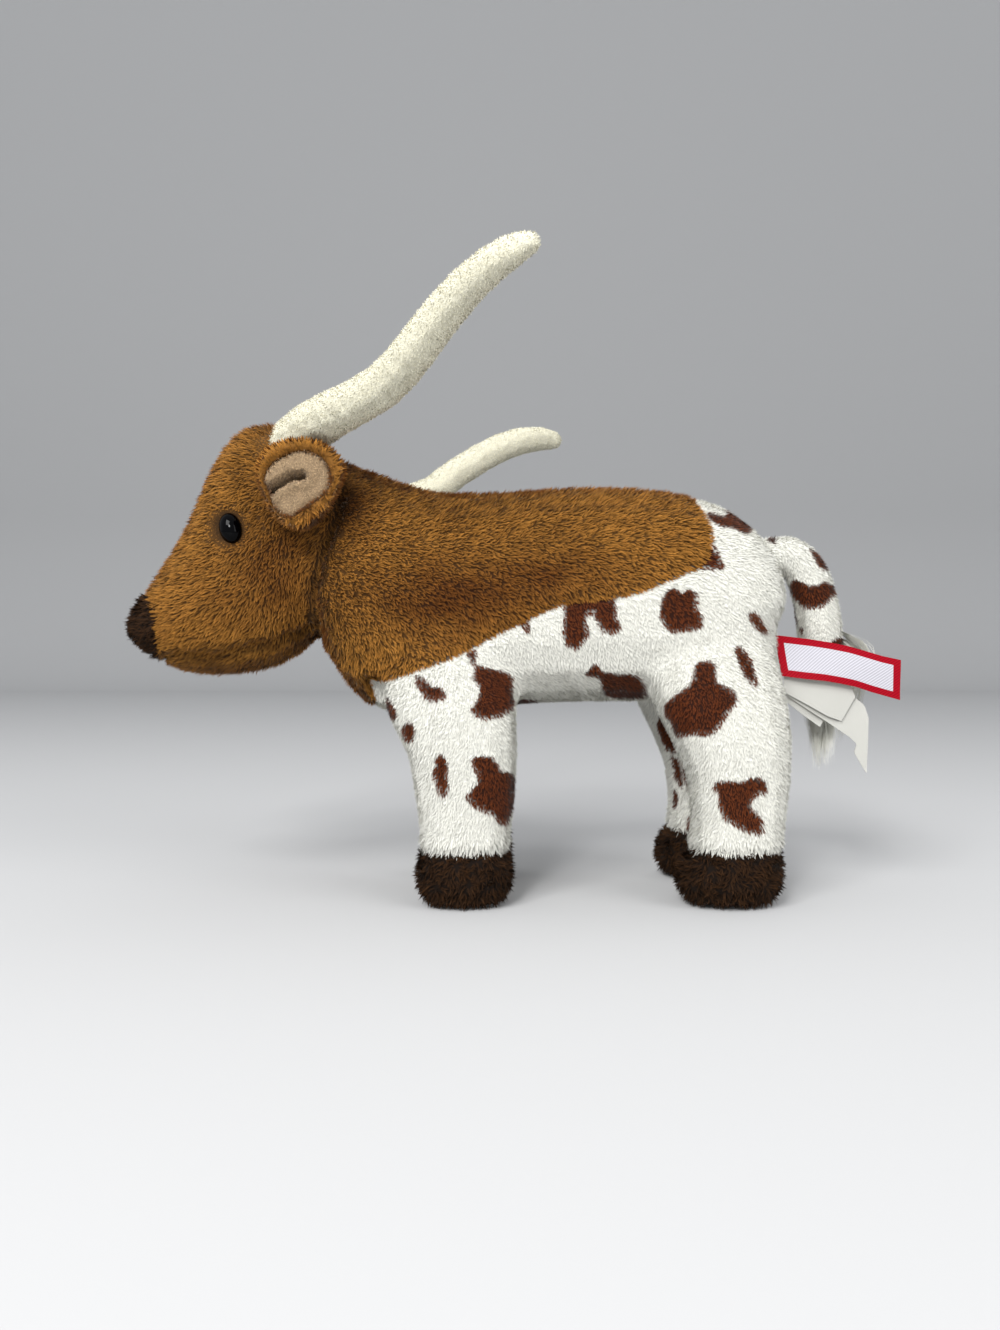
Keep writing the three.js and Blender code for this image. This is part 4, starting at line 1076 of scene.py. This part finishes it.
def labelFinish(title, size, border, centre, edge, yarn, shine):  # millimetres, a twill of that yarn's width
    finish = plain(title, (0.8, 0.8, 0.8), 0.55, **{"Specular IOR Level": shine})
    tree = finish.node_tree
    nodes, links = tree.nodes, tree.links
    shader = nodes["Principled BSDF"]
    at = nodes.new("ShaderNodeTexCoord")
    split = nodes.new("ShaderNodeSeparateXYZ")
    links.new(at.outputs["UV"], split.inputs[0])
    edges = []
    for axis, whole in zip("XY", size):
        centred = calc(tree, "ABSOLUTE", calc(tree, "SUBTRACT", split.outputs[axis], 0.5))
        edges.append(calc(tree, "GREATER_THAN", calc(tree, "MULTIPLY", centred, whole), whole / 2 - border))
    rim = calc(tree, "MAXIMUM", *edges)
    weave = nodes.new("ShaderNodeGroup")
    weave.node_tree = twill
    links.new(at.outputs["UV"], weave.inputs["Place"])
    for name, whole in zip(("Across", "Along"), size):
        weave.inputs[name].default_value = whole * 2 * math.pi / yarn
    mix = nodes.new("ShaderNodeMix")
    mix.data_type = "RGBA"
    mix.inputs["A"].default_value = (*centre, 1)
    mix.inputs["B"].default_value = (*edge, 1)
    links.new(rim, mix.inputs["Factor"])
    woven = nodes.new("ShaderNodeVectorMath")
    woven.operation = "SCALE"
    links.new(mix.outputs["Result"], woven.inputs[0])
    links.new(weave.outputs["Shade"], woven.inputs["Scale"])
    links.new(woven.outputs[0], shader.inputs["Base Color"])
    bump = nodes.new("ShaderNodeBump")
    bump.inputs["Strength"].default_value = 0.4
    bump.inputs["Distance"].default_value = 0.0001
    links.new(weave.outputs["Height"], bump.inputs["Height"])
    links.new(bump.outputs["Normal"], shader.inputs["Normal"])
    return finish


label = {
    "upper": [(775, 635), (808, 639), (827, 642), (847, 646), (861, 650), (881, 656), (900, 660)],
    "lower": [(782, 676), (805, 679), (825, 681), (842, 684), (856, 687), (871, 692), (889, 697), (900, 700)],
    "out": 14.5, "thickness": 0.45, "flat": (0.0125, 0.034),
}
careLabels = [
    {
        "upper": [(784, 668), (815, 672), (850, 684), (855, 697)],
        "lower": [(784, 692), (806, 704), (827, 716), (841, 721)],
        "out": 12.9, "thickness": 0.2, "curl": 0.5, "flat": (0.01, 0.019),
    },
    {
        "upper": [(784, 672), (830, 688), (855, 698), (864, 705), (868, 718), (867, 745), (865, 772)],
        "lower": [(784, 694), (813, 713), (830, 724), (849, 737), (856, 744), (853, 752), (864, 772)],
        "out": 12.0, "thickness": 0.2, "curl": 1.6, "flat": (0.01, 0.03),
    },
    {
        "upper": [(784, 672), (810, 684), (833, 700)],
        "lower": [(784, 700), (803, 715), (820, 727)],
        "out": 11.2, "thickness": 0.2, "curl": 0.2, "flat": (0.01, 0.013),
    },
]

satinWhite = linear(192, 191, 184)
satin = labelFinish("careSatin", (30, 10), 0, satinWhite, satinWhite, yarn=0.25, shine=0.25)
wovenColours = linear(188, 186, 193), linear(150, 0, 22)
woven = labelFinish("wovenLabel", (34, 12.5), 2.1, *wovenColours, yarn=0.9, shine=0.08)
wave = lambda s, t: -0.7 * np.sin(s * 2.6) + 0.3 * np.sin(t * 3 + s * 5)
wovenPiece = strip("wovenLabel", label, wave, woven)
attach(wovenPiece, "brand_label")
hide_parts("woven_label")
for number, leaf in enumerate(careLabels, 1):
    curl = lambda s, t: 0.3 * np.sin(s * 6 + number) * s - leaf["curl"] * s**3
    piece = strip(f"careLabel{number}", leaf, curl, satin)
    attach(piece, "care_labels")
    if number < 3:
        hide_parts(f"care_label_{number}")
print("labels")

# Room, lamps and camera

room = {"grey": 0.5, "near": -1.6, "far": 2.6, "bend": 0.5, "wide": 6, "high": 3}
paper = plain("backdropPaper", (room["grey"],) * 3, 0.9)
foot = room["far"] - room["bend"]
profile = [(room["near"], 0)]
for angle in np.linspace(0, math.pi / 2, 17):
    profile.append((foot + room["bend"] * math.sin(angle), room["bend"] * (1 - math.cos(angle))))
profile.append((room["far"], room["high"]))
paperPlaces = np.array([(x * room["wide"] / 2, y, z) for y, z in profile for x in (-1, 1)]) * 1000
backdrop = newMesh("backdrop", paperPlaces, ladder(len(paperPlaces)), paper)

scene = bpy.context.scene
world = bpy.data.worlds.new("studio")
scene.world = world
world.use_nodes = True
sky = world.node_tree.nodes["Background"].inputs
sky["Color"].default_value = (0.95, 0.97, 1, 1)
sky["Strength"].default_value = 0.8
lampAim = Vector((0, 0, 0.07))


def lamp(title, place, size, power):
    data = bpy.data.lights.new(title, "AREA")
    data.size = size
    data.energy = power
    obj = added(title, data)
    obj.location = place
    obj.rotation_euler = (lampAim - obj.location).to_track_quat("-Z", "Y").to_euler()


lamp("softBox", (-0.5, -0.95, 0.9), size=0.55, power=14.0)
lamp("fillPanel", (0.7, -0.6, 0.45), size=0.6, power=3.7)
lamp("catchLight", (-0.18, -0.7, 0.42), size=0.13, power=2.8)

cameraData = bpy.data.cameras.new("camera")
cameraData.lens = 36 * picture["scale"] / picture["size"][1]
camera = added("camera", cameraData)
camera.location = (viewX / 1000, -picture["distance"] / 1000, picture["height"] / 1000)
camera.rotation_euler = (math.radians(90), 0, 0)
scene.camera = camera
cameraData.clip_start = 0.01
scene.view_settings.view_transform = "Standard"

print("done")
